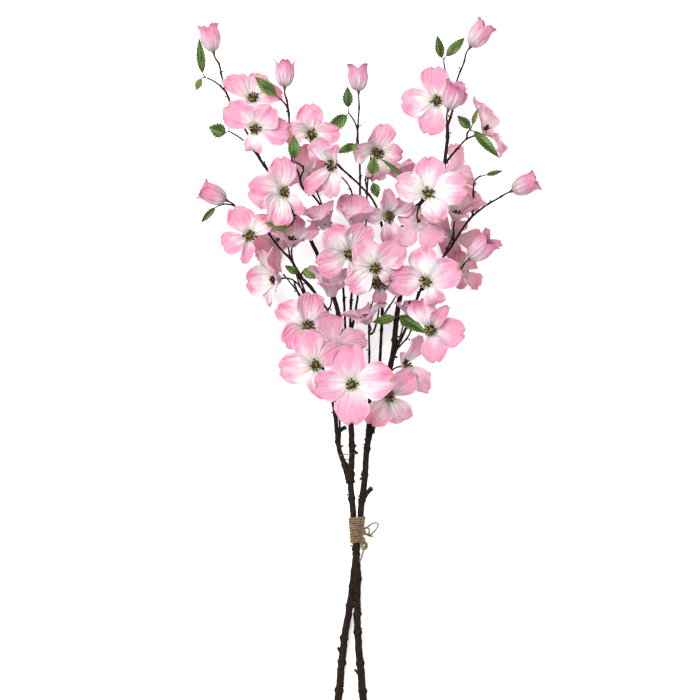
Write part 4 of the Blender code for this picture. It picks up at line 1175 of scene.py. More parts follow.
@dataclass
class BloomHead:
    """An open bloom: four bracts that grow from a ring round the twig's neck."""

    name: str
    plan: Bloom
    seed: int
    ring: float = 6.5
    inner: float = 2.6
    collar_wide: float = 10.5
    half_width: float = 0.48
    shoulder: float = 0.20
    notch: float = 0.095
    thick: float = 0.5
    rows: int = 27
    places: int = 27
    collar_rows: int = 7
    collar_sides: int = 32

    def outline(self, share: np.ndarray) -> np.ndarray:
        """A bract's width at a share of its length, as a share of its greatest width.

        It grows by a quarter sine up to 0.58 of the length and falls by a parabola to 0.75 at the tip;
        inside the ring it narrows evenly.

        Args:
            share: Shares of the length, below 0 inside the ring.

        Returns:
            The widths.
        """
        grown = 0.31 + 0.69 * np.sin(np.pi / 2 * np.clip(share / 0.58, 0, 1)) ** 1.08
        fallen = 1 - 0.25 * (np.clip(share - 0.58, 0, 1) / 0.42) ** 2
        return np.where(share < 0, 0.31 + 1.6 * share, np.minimum(grown, fallen))

    def bract(self, number: int) -> Skin:
        """One bract: a sheet bent along an arc, cupped across, creased, waved at its edges and notched.

        At a share u of its length and a place v across it, the arc's angle is foot + bend x (u - back),
        where back sets the sides of the tip back by v squared and cuts the notch. The arc gives the
        distance out and the height; width x v goes sideways; and the relief, which is the cup, the rib,
        the creases, the edge's waves and the pinch at the notch, goes along the arc's own normal.

        Args:
            number: Which of the bloom's bracts.

        Returns:
            The bract's skin.
        """
        direction, reach, form = self.plan.bracts[number]
        bend_of = form.value
        rng = np.random.default_rng(self.seed * 7 + number)
        phase, tone = rng.uniform(0, math.tau, 5), rng.uniform(0, 1)
        wave, roll, hook, sway, skew = rng.uniform((0.8, -1, -1, -1, -1), (1.8, 1, 1, 1, 1))
        axis, right, up = plane_of(self.plan.face)
        turn = math.radians(direction)
        out = math.cos(turn) * right + math.sin(turn) * up
        side = math.cos(turn) * up - math.sin(turn) * right
        foot = math.radians(self.plan.opening + bend_of.lift)
        bend = math.radians(bend_of.tip + 0.6 * (self.plan.opening - 30)) - foot
        length = reach - self.ring
        u = np.linspace(-(self.ring - self.inner) / length, 1, self.rows)[:, None]
        v = np.sin(np.linspace(-1, 1, self.places) * np.pi / 2)[None]
        v = 0.5 * v + 0.5 * np.linspace(-1, 1, self.places)[None]
        tip = np.clip(u, 0, 1)
        back = self.shoulder * v ** 2 * tip ** 2 + self.notch * bell(v, 0, 0.17) * tip ** 5
        angle = foot + bend * (u - back)
        far = self.ring + length * (np.sin(angle) - math.sin(foot)) / bend
        high = length * (math.cos(foot) - np.cos(angle)) / bend
        belly = np.sin(np.pi * np.clip(tip * 0.85, 0, 1))
        relief = bend_of.cup * v ** 2 * (0.35 + 0.65 * belly)
        relief -= 0.9 * bell(v, 0, 0.08) * np.sin(np.pi * tip ** 0.7)
        creases = 0.55 * np.cos(4.6 * np.pi * v + 0.6 * np.sin(5 * tip + phase[1]))
        relief += creases * (1 - tip) ** 0.7 * tip ** 0.35
        relief += wave * 2.2 * np.abs(v) ** 3 * np.sin(math.tau * (1.4 * tip + 0.2 * v) + phase[0]) * tip
        ripple = wave * 0.9 * np.abs(v) ** 2 * np.sin(math.tau * (2.9 * tip - 0.4 * v) + phase[3])
        relief += ripple * tip ** 1.5
        relief += 0.8 * np.sin(6 * tip + 3 * v + phase[2]) * tip * (1 - v ** 2)
        relief += 5.5 * roll * np.clip(np.sign(roll) * v - 0.35, 0, 1) ** 2 * tip ** 1.5
        relief += 3.8 * hook * tip ** 5 * (1 - 0.6 * v ** 2)
        relief += 1.5 * bell(v, 0, 0.24) * tip ** 9 * (1.2 - wave)
        wide = self.outline(u) * self.half_width * length * bend_of.wide
        normal = axis * np.cos(angle)[..., None] - out * np.sin(angle)[..., None]
        wide = wide * (1 + 0.06 * np.sin(6 * tip + 2 * v + phase[4]) + 0.12 * skew * v * tip)
        aside = v * wide + 3.0 * sway * tip ** 2
        relief += (number % 2) * (0.35 + 0.6 * belly)
        middle = (np.array(self.plan.heart) + out * far[..., None] + axis * high[..., None]
                  + side * aside[..., None] + normal * relief[..., None])
        thick = self.thick * (1 - 0.55 * np.abs(v) ** 6) * (1 - 0.4 * tip ** 12)
        mark = bell(v, 0, 0.20 + 0.14 * tone) * np.clip((tip - 0.88) / 0.07, 0, 1)
        return sheet(above_floor(middle, self.thick / 2), thick, along=tip, across=v, tone=tone, notch=mark)

    def collar(self) -> Skin:
        """The thin funnel that joins the bracts' feet, on their undersides.

        It is a straight line at the bracts' mean angle, carried round the bloom's axis, and its edge has
        one shallow wave for each bract.

        Returns:
            The funnel's skin, marked like the feet of the bracts.
        """
        axis, right, up = plane_of(self.plan.face)
        lift = np.mean([form.value.lift for _, _, form in self.plan.bracts])
        slope = math.radians(self.plan.opening + lift)
        turn = circle(self.collar_sides)
        lobes = 0.5 + 0.5 * np.cos(turn[..., None] - np.radians([bract[0] for bract in self.plan.bracts]))
        edge = self.collar_wide - self.ring - 2.2 * (1 - (lobes ** 8).max(axis=-1))
        outwards = np.linspace(0, 1, self.collar_rows)
        share = np.concatenate((outwards, np.linspace(1, 0, self.collar_rows)))[:, None]
        under = np.repeat((0.0, 1.0), self.collar_rows)[:, None]
        s = self.inner - self.ring + (edge - self.inner + self.ring) * share
        drop = 0.25 + 0.35 * under
        far = self.ring + s * math.cos(slope) + drop * math.sin(slope)
        high = s * math.sin(slope) - drop * math.cos(slope)
        rings = np.array(self.plan.heart) + swung(turn, right, up) * far[..., None] + axis * high[..., None]
        poles = np.array(self.plan.heart) + axis * high[(0, -1), :].mean(axis=1)[:, None]
        return ringed(rings[None], poles[None], along=np.clip(s, 0, None) / 40, across=0.8 * np.sin(2 * turn),
                      tone=0.5, behind=under)

    def build(self) -> bpy.types.Object:
        """The bloom's four bracts and their collar as one piece in the bract finish."""
        skins = [self.bract(number) for number in range(len(self.plan.bracts))] + [self.collar()]
        return placed(skins, f"{self.name}_bracts", BRACT, "bract", self.name)


@dataclass
class HeartSet:
    """The hearts of one branch's blooms: a green button with short, thick-headed rods on it."""

    side: str
    button_wide: float = 3.3
    button_high: float = 3.0
    button_rows: int = 8
    button_sides: int = 20
    rods: int = 17
    rod_long: float = 6.9
    rod_sides: int = 6
    rod_shape: tuple[Place, ...] = (
        (0.0, 0.50), (0.35, 0.46), (0.60, 0.55), (0.76, 1.0), (0.91, 1.0), (1.0, 0.55))

    def heart(self, plan: Bloom, seed: int) -> Skin:
        """One heart.

        The button is half an ellipsoid with bumps, the product of two sines, on it. The rods stand on a
        sunflower spiral: the n-th at n golden angles, and at the square root of n out from the middle,
        each leaning out as far as it is from it.

        Args:
            plan: The bloom.
            seed: The seed of its small differences.

        Returns:
            The heart's skin.
        """
        rng = np.random.default_rng(HEART_SEED + seed)
        axis, right, up = plane_of(plan.face)
        seat = np.array(plan.heart) + axis * 0.2
        rise = np.linspace(-0.25, 0.96, self.button_rows)[:, None]
        turn = circle(self.button_sides)
        bump = 1 + 0.13 * np.sin(5 * turn + 6 * rise) * np.sin(9 * rise + 2 * np.sin(3 * turn))
        ring = self.button_wide * np.cos(rise * np.pi / 2) * bump
        level = self.button_high * np.sin(rise * np.pi / 2) * bump
        rings = seat + swung(turn, right, up) * ring[..., None] + axis * level[..., None]
        poles = seat + np.array((-0.8, self.button_high * 1.02))[:, None] * axis
        button = ringed(rings[None], poles[None], rise=bump * 1.6 - 1.1)
        n = np.arange(self.rods) + 0.6
        out = np.sqrt(n / self.rods)
        spin = n * GOLDEN_ANGLE + rng.uniform(0, math.tau)
        lean = np.radians(6 + 56 * out + rng.uniform(-18, 18, self.rods))
        spoke = swung(spin, right, up)
        ways = unit(axis * np.cos(lean)[:, None] + spoke * np.sin(lean)[:, None])
        dome = self.button_high * 0.75 * np.sqrt(1.05 - out ** 2)
        starts = seat + spoke * (out * self.button_wide * 0.85)[:, None] + axis * dome[:, None]
        longs = self.rod_long * rng.uniform(0.55, 1.15, self.rods)
        tones = rng.uniform(0, 1, self.rods)[:, None, None]
        crown = rods(starts, ways, longs, np.array(self.rod_shape), self.rod_sides, rod=1.0, tone=tones)
        return Skin.joined([button, crown])

    def build(self) -> bpy.types.Object:
        """All the hearts of the branch as one piece."""
        hearts = [self.heart(plan, seed) for seed, plan in on_branch(self.side, BLOOMS.values())]
        return placed(hearts, f"hearts_{self.side}", HEART, "bark", f"branch_{self.side}")


@dataclass
class BudCup:
    """A bud: four bracts wrapped into a cup, each over its neighbour's edge, with flared, notched tips."""

    name: str
    plan: Bud
    seed: int
    long: float = 34.0
    wide: float = 11.6
    thick: float = 0.6
    rows: int = 34
    places: int = 21
    profile: tuple[Place, ...] = (
        (0, 0.10), (0.035, 0.42), (0.13, 0.70), (0.30, 0.90), (0.50, 1.0), (0.72, 0.93), (0.86, 0.92),
        (1.0, 1.04))

    def bract(self, number: int) -> Skin:
        """One bract of the cup.

        At a share u of the length and a place v across, its distance from the cup's axis is the profile
        at u, grown along v so that one edge lies over the next bract, plus ribs and the tip's flare.

        Args:
            number: Which of the four.

        Returns:
            The bract's skin.
        """
        rng = np.random.default_rng(BUD_SEED + self.seed * 5 + number)
        tone, flare, phase = rng.uniform(0, 1), rng.uniform(0.7, 1.3), rng.uniform(0, math.tau)
        axis, right, up = plane_of(self.plan.face)
        u = np.linspace(0, 1, self.rows)[:, None]
        v = np.linspace(1, -1, self.places)[None]
        knots = smooth(np.array(self.profile), 0.02)
        half = np.radians(60) * (1 - 0.42 * np.clip((u - 0.62) / 0.38, 0, 1) ** 2)
        turn = np.radians(45 * (1 + self.seed % 2) + 90 * number) + half * v
        back = 0.17 * v ** 2 * u ** 3 + 0.055 * bell(v, 0, 0.20) * u ** 8
        far = np.interp(u - back, knots[:, 0], knots[:, 1]) * (1 + 0.035 * v * np.clip(u * 4, 0, 1))
        far = far + 0.30 * flare * np.clip((u - 0.78) / 0.22, 0, 1) ** 2 * (1 - 0.7 * v ** 2)
        far = far + 0.036 * np.cos(4 * np.pi * v + np.sin(4 * u + phase)) * np.sin(np.pi * u ** 0.8) ** 0.7
        far = far - 0.05 * bell(v, 0, 0.12) * np.sin(np.pi * u)
        foot, spokes = np.array(self.plan.foot), swung(turn, right, up)
        high = self.long * (u - back)
        middle = foot + (axis * high[..., None] + spokes * (self.wide * far)[..., None]) * self.plan.size
        thick = self.thick * (1 - 0.5 * np.abs(v) ** 6) * (1 - 0.4 * u ** 12)
        mark = bell(v, 0.3 * np.sin(phase), 0.45) * np.clip((u - 0.90) / 0.08, 0, 1)
        return sheet(above_floor(middle, self.thick / 2), thick, along=u, across=v, tone=tone, notch=mark)

    def build(self) -> bpy.types.Object:
        """The cup's four bracts as one piece in the bud finish."""
        skins = [self.bract(number) for number in range(4)]
        return placed(skins, f"{self.name}_cup", BUD, "bud", self.name)


# ---------------------------------------------------------------- leaves

@dataclass
class LeafSpray:
    """The leaves at the end of one twig, with their stalks."""

    name: str
    plan: Sprig
    seed: int
    thick: float = 0.5
    rows: int = 73
    places: int = 11
    stalk_wide: float = 0.7
    stalk_sides: int = 8

    def blade(self, number: int) -> Skin:
        """One toothed leaf, folded along its rib and arched along its length.

        At a share u of the length and a place v across, half the width is the sine of pi u^0.8, cut back
        by a sawtooth at the edge, and the height is the arch, the fold, the veins' relief and a slow wave.

        Args:
            number: Which of the spray's leaves.

        Returns:
            The leaf's skin.
        """
        foot, tip, wide = self.plan.leaves[number]
        rng = np.random.default_rng(LEAF_SEED + self.seed * 5 + number)
        tone, phase = rng.uniform(0, 1), rng.uniform(0, math.tau, 2)
        foot, tip = np.array(foot, float), np.array(tip, float)
        length = np.linalg.norm(tip - foot)
        along = (tip - foot) / length
        side = unit(np.cross(Z_AXIS, along))
        up = np.cross(along, side)
        teeth = round(length / 3.6)
        u = np.linspace(0, 1, self.rows)[:, None]
        v = np.linspace(-1, 1, self.places)[None]
        edge = 1 - 0.30 * np.abs(v) ** 4 * (1 - (u * teeth) % 1) * np.sin(np.pi * u) ** 0.3
        half = wide * (0.03 + 0.50 * np.sin(np.pi * np.clip(u, 0, 1) ** 0.8)) * edge
        slant = VEINS * u - VEIN_SLANT * np.abs(v)
        rise = 0.07 * length * np.sin(np.pi * u) + 0.22 * np.abs(v) * half
        veins = 0.28 * np.cos(math.tau * slant) * np.abs(v) ** 0.5
        rise = rise - veins * (1 - np.abs(v) ** 3) * np.sin(np.pi * u)
        rise = rise - 0.35 * bell(v, 0, 0.12) * (1 - u)
        rise = rise + 0.045 * wide * v * np.sin(9 * u + phase[0])
        rise = rise + 0.03 * wide * v ** 2 * np.sin(13 * u + phase[1])
        middle = foot + along * (length * u)[..., None] + side * (v * half)[..., None] + up * rise[..., None]
        thick = self.thick * (1 - 0.5 * np.abs(v) ** 4)
        return sheet(middle, thick, along=u, across=v, tone=tone)

    def stalk(self, number: int) -> Skin:
        """The stalk of one leaf: a thin tube from the twig's end into the leaf's rib.

        Args:
            number: Which of the spray's leaves.

        Returns:
            The stalk's skin.
        """
        foot, tip, _ = self.plan.leaves[number]
        start, foot, tip = (np.array(point, float) for point in (self.plan.end, foot, tip))
        arrive = sprig_arrival(self.plan)
        along = unit(tip - foot)
        path = twig_path(start + arrive * 0.6, arrive, foot + along * 2.5 + Z_AXIS * 0.1, along)
        radii = np.linspace(self.stalk_wide * 1.35, self.stalk_wide * 0.8, len(path))
        guide = unit(np.cross(arrive, along) + Z_AXIS * 0.4)
        return tube(path, radii, self.stalk_sides, guide, stalk=1.0)

    def build(self) -> bpy.types.Object:
        """The spray's leaves and stalks as one piece in the leaf finish.

        A small leaf stands for no solid.

        Returns:
            The piece.
        """
        skins = [make(number) for make in (self.blade, self.stalk) for number in range(len(self.plan.leaves))]
        nodes = [self.name] if self.name in SPRIGS else []
        return placed(skins, f"{self.name}_blades", LEAF, "leaf", *nodes)


def sprig_arrival(sprig: Sprig) -> np.ndarray:
    """The direction in which a sprig's twig arrives: towards the middle of its leaves' feet."""
    return unit(np.mean([leaf[0] for leaf in sprig.leaves], axis=0) - np.array(sprig.end, float))


# ---------------------------------------------------------------- wood

@dataclass
class Branchwork:
    """The wood of one branch: its stems, stubs, twigs, the calyces behind its flowers and its small nubs."""

    side: str
    stem_step: float = 2.0
    stem_sides: int = 16
    twig_sides: int = 10
    twig_wide: float = 1.0
    stoutness: tuple[Place, ...] = ((2.3, 0.92), (2.9, 1.20), (4.2, 1.10))
    bloom_calyx: tuple[float, float, float] = (7.5, 7.5, 4.0)  # drop, length, radius
    bud_calyx: tuple[float, float, float] = (6.0, 7.2, 3.0)
    calyx_rows: int = 9
    calyx_sides: int = 12
    nub_sides: int = 7
    stub_rows: int = 12
    knob_gap: float = 31.0
    rest_half: float = 0.02
    rest_ease: float = 0.3
    stub_shape: tuple[Place, ...] = (
        (0, 1.35), (0.5, 1.0), (0.75, 1.05), (0.88, 1.35), (0.96, 1.25), (1, 0.8))
    nub_shape: tuple[Place, ...] = (
        (0.0, 0.62), (0.5, 0.50), (0.68, 0.66), (0.80, 1.18), (0.93, 1.06), (1.0, 0.5))

    def rough(self, path: np.ndarray, radii: np.ndarray, sides: int,
              seed: int) -> tuple[np.ndarray, np.ndarray]:
        """The radii of a stem's rings with knobs and bark relief, and the places of its knobs.

        A knob swells the stem by a third over a few millimetres. The relief is a sum of sines round and
        along the stem, of about a tenth of the radius.

        Args:
            path: The stem's middle line.
            radii: Its plain radii.
            sides: The points round a ring.
            seed: The seed of its differences.

        Returns:
            The radius of each point of each ring, and the rings that carry a knob.
        """
        rng = np.random.default_rng(seed)
        s = travelled(path)
        count = int(s[-1] // self.knob_gap)
        knobs = (np.arange(count) + 0.5) * s[-1] / max(count, 1) + rng.uniform(-7, 7, count)
        swell = 1 + 0.34 * bell(s[:, None], knobs[None], 2.2).sum(axis=1)
        turn = circle(sides)
        a, b, c = rng.uniform(0, math.tau, 3)
        s_ring = s[:, None]
        relief = (0.055 * np.sin(3 * turn + 0.16 * s_ring + a) + 0.045 * np.sin(5 * turn - 0.31 * s_ring + b)
                  + 0.040 * np.sin(turn + 0.52 * s_ring + c) + 0.030 * np.sin(8 * turn + 1.1 * s_ring))
        wide = radii[:, None] * swell[:, None] * (1 + relief)
        return wide, np.searchsorted(s, knobs).clip(1, len(s) - 2)

    def stem(self, path: np.ndarray, radii: np.ndarray, sides: int, guide: np.ndarray,
             seed: int) -> list[Skin]:
        """A stem with its knobs, and a small ball-tipped nub on each knob.

        Args:
            path: The stem's middle line.
            radii: Its plain radii.
            sides: The points round a ring.
            guide: A direction that the stem never takes.
            seed: The seed of its differences.

        Returns:
            The stem's skin and its nubs' skin.
        """
        wide, knobs = self.rough(path, radii, sides, seed)
        skins = [tube(path, wide, sides, guide, girth=radii[:, None])]
        if len(knobs):
            rng = np.random.default_rng(seed + 9)
            ways = unit(np.gradient(path, axis=0))[knobs]
            spin = rng.uniform(0, math.tau, len(knobs))
            across = unit(np.cross(guide, ways))
            out = unit(swung(spin, across, np.cross(ways, across)) + 0.7 * ways)
            longs = radii[knobs] + rng.uniform(2.0, 4.2, len(knobs))
            skins.append(rods(path[knobs], out, longs, np.array(self.nub_shape), self.nub_sides, girth=1.2))
        return skins

    def limbs(self) -> list[Skin]:
        """The branch's woody stems, each swollen where it leaves its parent.

        Returns:
            Their skins and their nubs' skins.
        """
        skins = []
        for seed, (name, limb) in enumerate(LIMBS.items()):
            if name.startswith(self.side):
                path = smooth(limb_path(name)[2], self.stem_step)
                stout = np.interp(limb.radii[0], *np.array(self.stoutness).T)
                radii = np.linspace(*limb.radii, len(path)) * stout
                if limb.parent:
                    radii = radii * (1 + 0.6 * np.exp(-np.arange(len(path)) / 4.0))
                skins += self.stem(path, radii, self.stem_sides, Z_AXIS, LIMB_SEED + seed)
        return skins

    def stubs(self) -> list[Skin]:
        """The branch's short cut shoots, each flared and pale at the cut.

        Returns:
            Their skins.
        """
        skins = []
        share = np.linspace(0, 1, self.stub_rows)
        cut = np.where(share > 0.95, 0.8, 0.0)[:, None]
        for seed, stub in on_branch(self.side, STUBS):
            foot, tip = along_limb(stub.limb, stub.foot)[0], np.array(stub.tip, float)
            path = foot + (tip - foot) * share[:, None]
            radii = np.interp(share, *np.array(self.stub_shape).T) * np.interp(share, (0, 1), stub.radii)
            wide, _ = self.rough(path, radii, self.twig_sides, STUB_SEED + seed)
            skins.append(tube(path, wide, self.twig_sides, Z_AXIS, girth=2.6, cut=cut))
        return skins

    def twig(self, limb: str, joint: Place, end: np.ndarray, arrive: np.ndarray, seed: int) -> list[Skin]:
        """A thin twig from a limb to the given end.

        Args:
            limb: The limb's name.
            joint: Where the twig joins it, in plan.
            end: Where the twig ends.
            arrive: The direction in which it ends.
            seed: The seed of its differences.

        Returns:
            The twig's skin and its nubs' skin.
        """
        start, ahead, radius = along_limb(limb, joint)
        path = twig_path(start, ahead, end, arrive)
        radii = np.linspace(min(self.twig_wide * 1.15, radius * 0.95), self.twig_wide, len(path))
        radii = radii * (1 + 0.35 * np.exp(-np.arange(len(path)) / 2.0))
        guide = np.cross(ahead, arrive)
        if np.linalg.norm(guide) <= 0.2:
            guide = np.cross(end - start, SKEW_AXIS)
        return self.stem(path, radii, self.twig_sides, unit(guide), seed)

    def shoots(self) -> list[Skin]:
        """The branch's bare shoots, each thickened at its tip by a rounded bump to one and a half times.

        Returns:
            Their skins and their nubs' skins.
        """
        skins = []
        for seed, shoot in on_branch(self.side, SHOOTS):
            foot = along_limb(shoot.limb, shoot.points[0])[0]
            path = smooth((tuple(foot), *shoot.points[1:]), TWIG_STEP)
            count = np.arange(len(path))
            radii = shoot.wide * np.linspace(self.twig_wide * 1.1, self.twig_wide * 0.85, len(path))
            radii = radii * (1 + 0.5 * bell(count, len(path) - 1.5, 1.0) + 0.35 * np.exp(-count / 2.0))
            skins += self.stem(path, radii, self.twig_sides, Z_AXIS, SHOOT_SEED + seed)
        return skins

    def calyx(self, foot: np.ndarray, axis: np.ndarray, long: float, wide: float) -> Skin:
        """The flared cup under a flower.

        Its radius grows with the 1.7th power of the distance from the twig, and has four low lobes.

        Args:
            foot: Where it leaves the twig.
            axis: The way it opens.
            long: Its length.
            wide: Its radius at the top.

        Returns:
            Its skin.
        """
        share = np.linspace(0, 1, self.calyx_rows)[:, None]
        lobes = 1 + 0.10 * np.cos(4 * circle(self.calyx_sides)) * share
        radii = (self.twig_wide + (wide - self.twig_wide) * share ** 1.7) * lobes
        guide = SKEW_AXIS if abs(axis @ SKEW_AXIS) < 0.9 else Z_AXIS
        return tube(foot + axis * long * share, radii, self.calyx_sides, guide, girth=1.3, calyx=0.75 * share)

    def flower_twig(self, plan: Bloom | Bud, seat: Point, cup: tuple[float, float, float],
                    seed: int) -> list[Skin]:
        """The twig that carries a bloom or a bud, with the calyx on its end.

        Args:
            plan: The bloom or the bud.
            seat: Where the flower sits.
            cup: How far under the seat the calyx has its foot, its length and its radius at the top.
            seed: The seed of the twig's differences.

        Returns:
            The skins of the twig and of the calyx.
        """
        axis = facing(plan.face)
        drop, long, wide = cup
        foot = np.array(seat) - axis * drop
        twig = self.twig(plan.limb, plan.joint, foot, axis, seed)
        return [*twig, self.calyx(foot - axis * 0.5, axis, long, wide)]

    def twigs(self) -> list[Skin]:
        """The twigs of the branch's blooms, buds and leaves, with the calyces.

        Returns:
            Their skins.
        """
        skins = []
        for seed, plan in on_branch(self.side, BLOOMS.values()):
            skins += self.flower_twig(plan, plan.heart, self.bloom_calyx, BLOOM_TWIG_SEED + seed)
        for seed, plan in on_branch(self.side, BUDS.values()):
            skins += self.flower_twig(plan, plan.foot, self.bud_calyx, BUD_TWIG_SEED + seed)
        for seed, plan in on_branch(self.side, ALL_SPRIGS.values()):
            end = np.array(plan.end, float)
            skins += self.twig(plan.limb, plan.joint, end, sprig_arrival(plan), LEAF_TWIG_SEED + seed)
        return skins

    def build(self) -> bpy.types.Object:
        """The branch's wood as one piece in the bark finish.

        Returns:
            The piece.
        """
        wood = Skin.joined(self.limbs() + self.stubs() + self.twigs() + self.shoots())
        wood.points = above_floor(wood.points, self.rest_half, self.rest_ease)
        return placed([wood], f"wood_{self.side}", BARK, "bark", f"branch_{self.side}")


# ---------------------------------------------------------------- the tie

@dataclass
class TwineTie:
    """The tie: a strand of three plies wound round both trunks, with its loops, knot, ends and fibres."""

    top: float = -185.6
    foot: float = -216.4
    turns: int = 12
    radius: float = 1.25
    ply_pitch: float = 6.0
    sides: int = 12
    turn_points: int = 56
    knot_points: int = 90
    fibres: int = 170
    fibre_sides: int = 3
    knots: tuple[tuple[Point, float], ...] = (
        ((-7.0, -203.5, 27.5), 1.0), ((-8.6, -212.5, 31.0), 1.3), ((-6.0, -219.0, 29.5), 1.5))
    loose: float = 1.05
    thread_span: tuple[float, float] = (-106.0, -118.5)
    thread_radius: float = 0.6

    def strand(self, path: np.ndarray, radius: float, shade: float = 1.0) -> Skin:
        """A strand of three plies along a path.

        Its radius is 1 + 0.17 cos(3 t - turn) times the plain one, where t goes round the strand and turn
        goes once round for each pitch along it.

        Args:
            path: The middle line.
            radius: The plain radius.
            shade: How far its plies are paler than the painted shade in its grooves; at 0 the strand is dark
                all over.

        Returns:
            The strand.
        """
        s, turn = travelled(path), circle(self.sides)
        ply = np.cos(3 * turn - (3 * math.tau / self.ply_pitch) * s[:, None])
        ends = np.clip(np.minimum(s, s[-1] - s) / 0.8, 0.5, 1)[:, None]
        ways = unit(np.gradient(path, axis=0))
        guide = Z_AXIS if np.abs(ways[:, 2]).max() < 0.9 else unit(np.array((0.3, 1.0, 0.2)))
        # The ply value is 1 on a ply's crown and 0 in a groove, for the painted groove shade.
        return tube(path, radius * (0.93 + 0.17 * ply) * ends, self.sides, guide,
                    ply=shade * (0.5 + 0.5 * ply), along=s[:, None] * 0.35, across=turn / np.pi - 1, tone=0.4)

    def winding(self, stems: tuple[str, str], top: float, foot: float, turns: int,
                radius: float) -> np.ndarray:
        """The course of a strand wound round two stems.

        It goes round them as a belt goes round two pulleys: at an angle t it lies a stem's radius plus
        its own away from a centre that slides from one stem to the other as cos t changes sign, while it
        moves evenly along Y.

        Args:
            stems: The two limbs' names, the left one first.
            top: Where it starts, in Y.
            foot: Where it ends, in Y.
            turns: How often it goes round.
            radius: The strand's own radius.

        Returns:
            Its points.
        """
        t = np.linspace(0, math.tau * turns, turns * self.turn_points)
        share = t / t[-1]
        level = top + (foot - top) * share + 0.45 * np.sin(2.3 * t) * np.sin(np.pi * share)
        ends = []
        for name in stems:
            path, radii, _ = limb_path(name)
            columns = path[:, 0], path[:, 2], radii
            ends.append(np.array([np.interp(level, path[:, 1], column) for column in columns]))
        left, right = ends
        lean = np.arctan2(right[1] - left[1], right[0] - left[0])
        slide = 0.5 + 0.5 * np.tanh(np.cos(t) / 0.3)
        x, z = (left[k] + (right[k] - left[k]) * slide for k in (0, 1))
        size = left[2] + radius + 0.25 + 0.25 * np.sin(5.1 * t)
        return np.stack((x + size * np.cos(t + lean), level, z + size * np.sin(t + lean)), -1)

    def knot(self, at: Point, size: float) -> np.ndarray:
        """The course of a knot: a closed trefoil, whose radius and height swing three times to two turns.

        Args:
            at: Its middle.
            size: Its size against the smallest knot's.

        Returns:
            Its points.
        """
        t = np.linspace(0, 2 * math.tau, self.knot_points)
        wide = 1.9 + 0.8 * np.cos(1.5 * t)
        course = np.stack((wide * np.cos(t), 1.25 * wide * np.sin(t), 1.3 * np.sin(1.5 * t)), -1)
        return np.array(at) + size * course

    def fuzz(self, path: np.ndarray) -> Skin:
        """Loose fibres that stand off a strand.

        Args:
            path: The strand's middle line.

        Returns:
            The fibres, thin rods in one skin.
        """
        rng = np.random.default_rng(FIBRE_SEED)
        at = rng.integers(1, len(path) - 1, self.fibres)
        ways = unit(np.gradient(path, axis=0))[at]
        out = unit(rng.normal(size=(self.fibres, 3)) + ways * 0.8)
        longs = rng.uniform(1.2, 4.2, self.fibres)
        middle = path.mean(axis=0)
        out = np.where(((path[at] - middle) * out).sum(axis=1, keepdims=True) < 0, -out, out)
        shape = np.array(((0.0, 0.10), (0.5, 0.08), (1.0, 0.03)))
        return rods(path[at] + out * 0.7, out, longs, shape, self.fibre_sides, ply=0.8, tone=0.6)

    def build(self) -> bpy.types.Object:
        """The tie as one piece in the twine finish, with the dark thread round the fork.

        Returns:
            The piece.
        """
        wound = self.winding(("left_trunk", "right_trunk"), self.top, self.foot, self.turns, self.radius)
        thread = self.winding(("left_fork", "left_main"), *self.thread_span, 1, self.thread_radius)
        ends = [self.knot(*knot) for knot in self.knots] + [smooth(points, 0.7) for points in TIE_ENDS]
        skins = [self.strand(wound, self.radius), self.strand(thread, self.thread_radius, 0.0)]
        skins += [self.strand(path, self.loose) for path in ends] + [self.fuzz(np.vstack([wound] + ends))]
        return placed(skins, "twine_strand", TWINE, "twine", "twine_tie")


# ---------------------------------------------------------------- the scene

@lru_cache
def shared(finish: Finish) -> bpy.types.Material:
    """The one material of a finish."""
    return finish.material()


def placed(skins: list[Skin], name: str, finish: Finish, slot: str, *nodes: str) -> bpy.types.Object:
    """Makes one piece of some skins, binds it to the bunch and reports it.

    Args:
        skins: The skins.
        name: The piece's name.
        finish: Its finish.
        slot: A material slot's name; not used.
        *nodes: The solids that it stands for.

    Returns:
        The piece.
    """
    piece = Skin.joined(skins).object(name, shared(finish))
    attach(piece, "root")
    if nodes:
        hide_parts(*nodes)
    LOG.info("%s: %d triangles", piece.name, len(piece.data.polygons))
    return piece


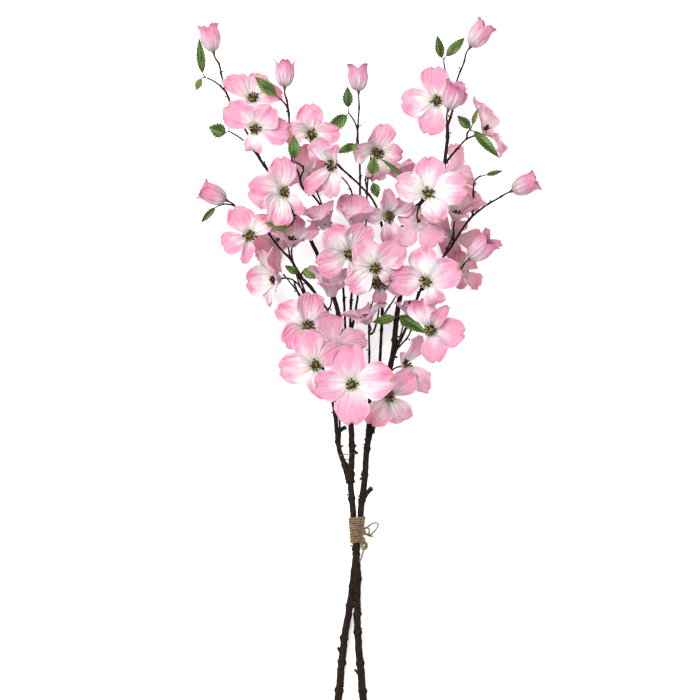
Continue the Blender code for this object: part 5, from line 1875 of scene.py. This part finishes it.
@dataclass
class Studio:
    """The floor, the lights and the camera."""

    centre: Place = (-22.8, 16.8)
    view_wide: float = 840.0
    mid_height: float = 70.0
    camera_height: float = 6000.0
    floor_half: float = 4000.0
    lamps: tuple[tuple[str, Point, float, float], ...] = (
        ("soft_box", (-900, 900, 2500), 1500, 108.0), ("fill", (1500, -900, 2200), 1800, 14.0))
    sky: float = 0.76

    def floor(self) -> None:
        """A flat floor at height 0."""
        corners = np.array(((-1, -1, 0), (1, -1, 0), (1, 1, 0), (-1, 1, 0)), float) * self.floor_half
        ground = Skin(corners, np.array(((0, 1, 2), (0, 2, 3))), {}).object("floor", shared(FLOOR))

    def light(self) -> None:
        """Square soft lights turned to the bunch, and an even pale sky."""
        for name, place, size, power in self.lamps:
            data = bpy.data.lights.new(name, "AREA")
            data.size = size * MM
            data.energy = power
            lamp = bpy.data.objects.new(name, data)
            lamp.location = Vector(place) * MM
            aim = Vector((*self.centre, 0)) * MM - lamp.location
            lamp.rotation_euler = aim.to_track_quat("-Z", "Y").to_euler()
            bpy.context.scene.collection.objects.link(lamp)
        world = bpy.data.worlds.new("sky")
        world.use_nodes = True
        world.node_tree.nodes["Background"].inputs["Color"].default_value = (1, 1, 1, 1)
        world.node_tree.nodes["Background"].inputs["Strength"].default_value = self.sky
        bpy.context.scene.world = world
        bpy.context.scene.view_settings.view_transform = "Standard"

    def camera(self) -> None:
        """A long lens that looks straight down and takes in the view's width."""
        data = bpy.data.cameras.new("camera")
        data.lens = data.sensor_width * (self.camera_height - self.mid_height) / self.view_wide
        data.clip_end = 100
        camera = bpy.data.objects.new("camera", data)
        camera.location = Vector((*self.centre, self.camera_height)) * MM
        bpy.context.scene.collection.objects.link(camera)
        bpy.context.scene.camera = camera


def main() -> None:
    """Builds the bunch's pieces in order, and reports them."""
    logging.basicConfig(level=logging.INFO, format="%(name)s: %(message)s")
    studio = Studio()
    studio.camera()
    studio.floor()
    studio.light()
    for side in ("left", "right"):
        Branchwork(side).build()
        HeartSet(side).build()
    TwineTie().build()
    for seed, (name, plan) in enumerate(BLOOMS.items()):
        BloomHead(name, plan, seed).build()
    for seed, (name, plan) in enumerate(BUDS.items()):
        BudCup(name, plan, seed).build()
    for seed, (name, plan) in enumerate(ALL_SPRIGS.items()):
        LeafSpray(name, plan, seed).build()


if __name__ == "__main__":
    main()
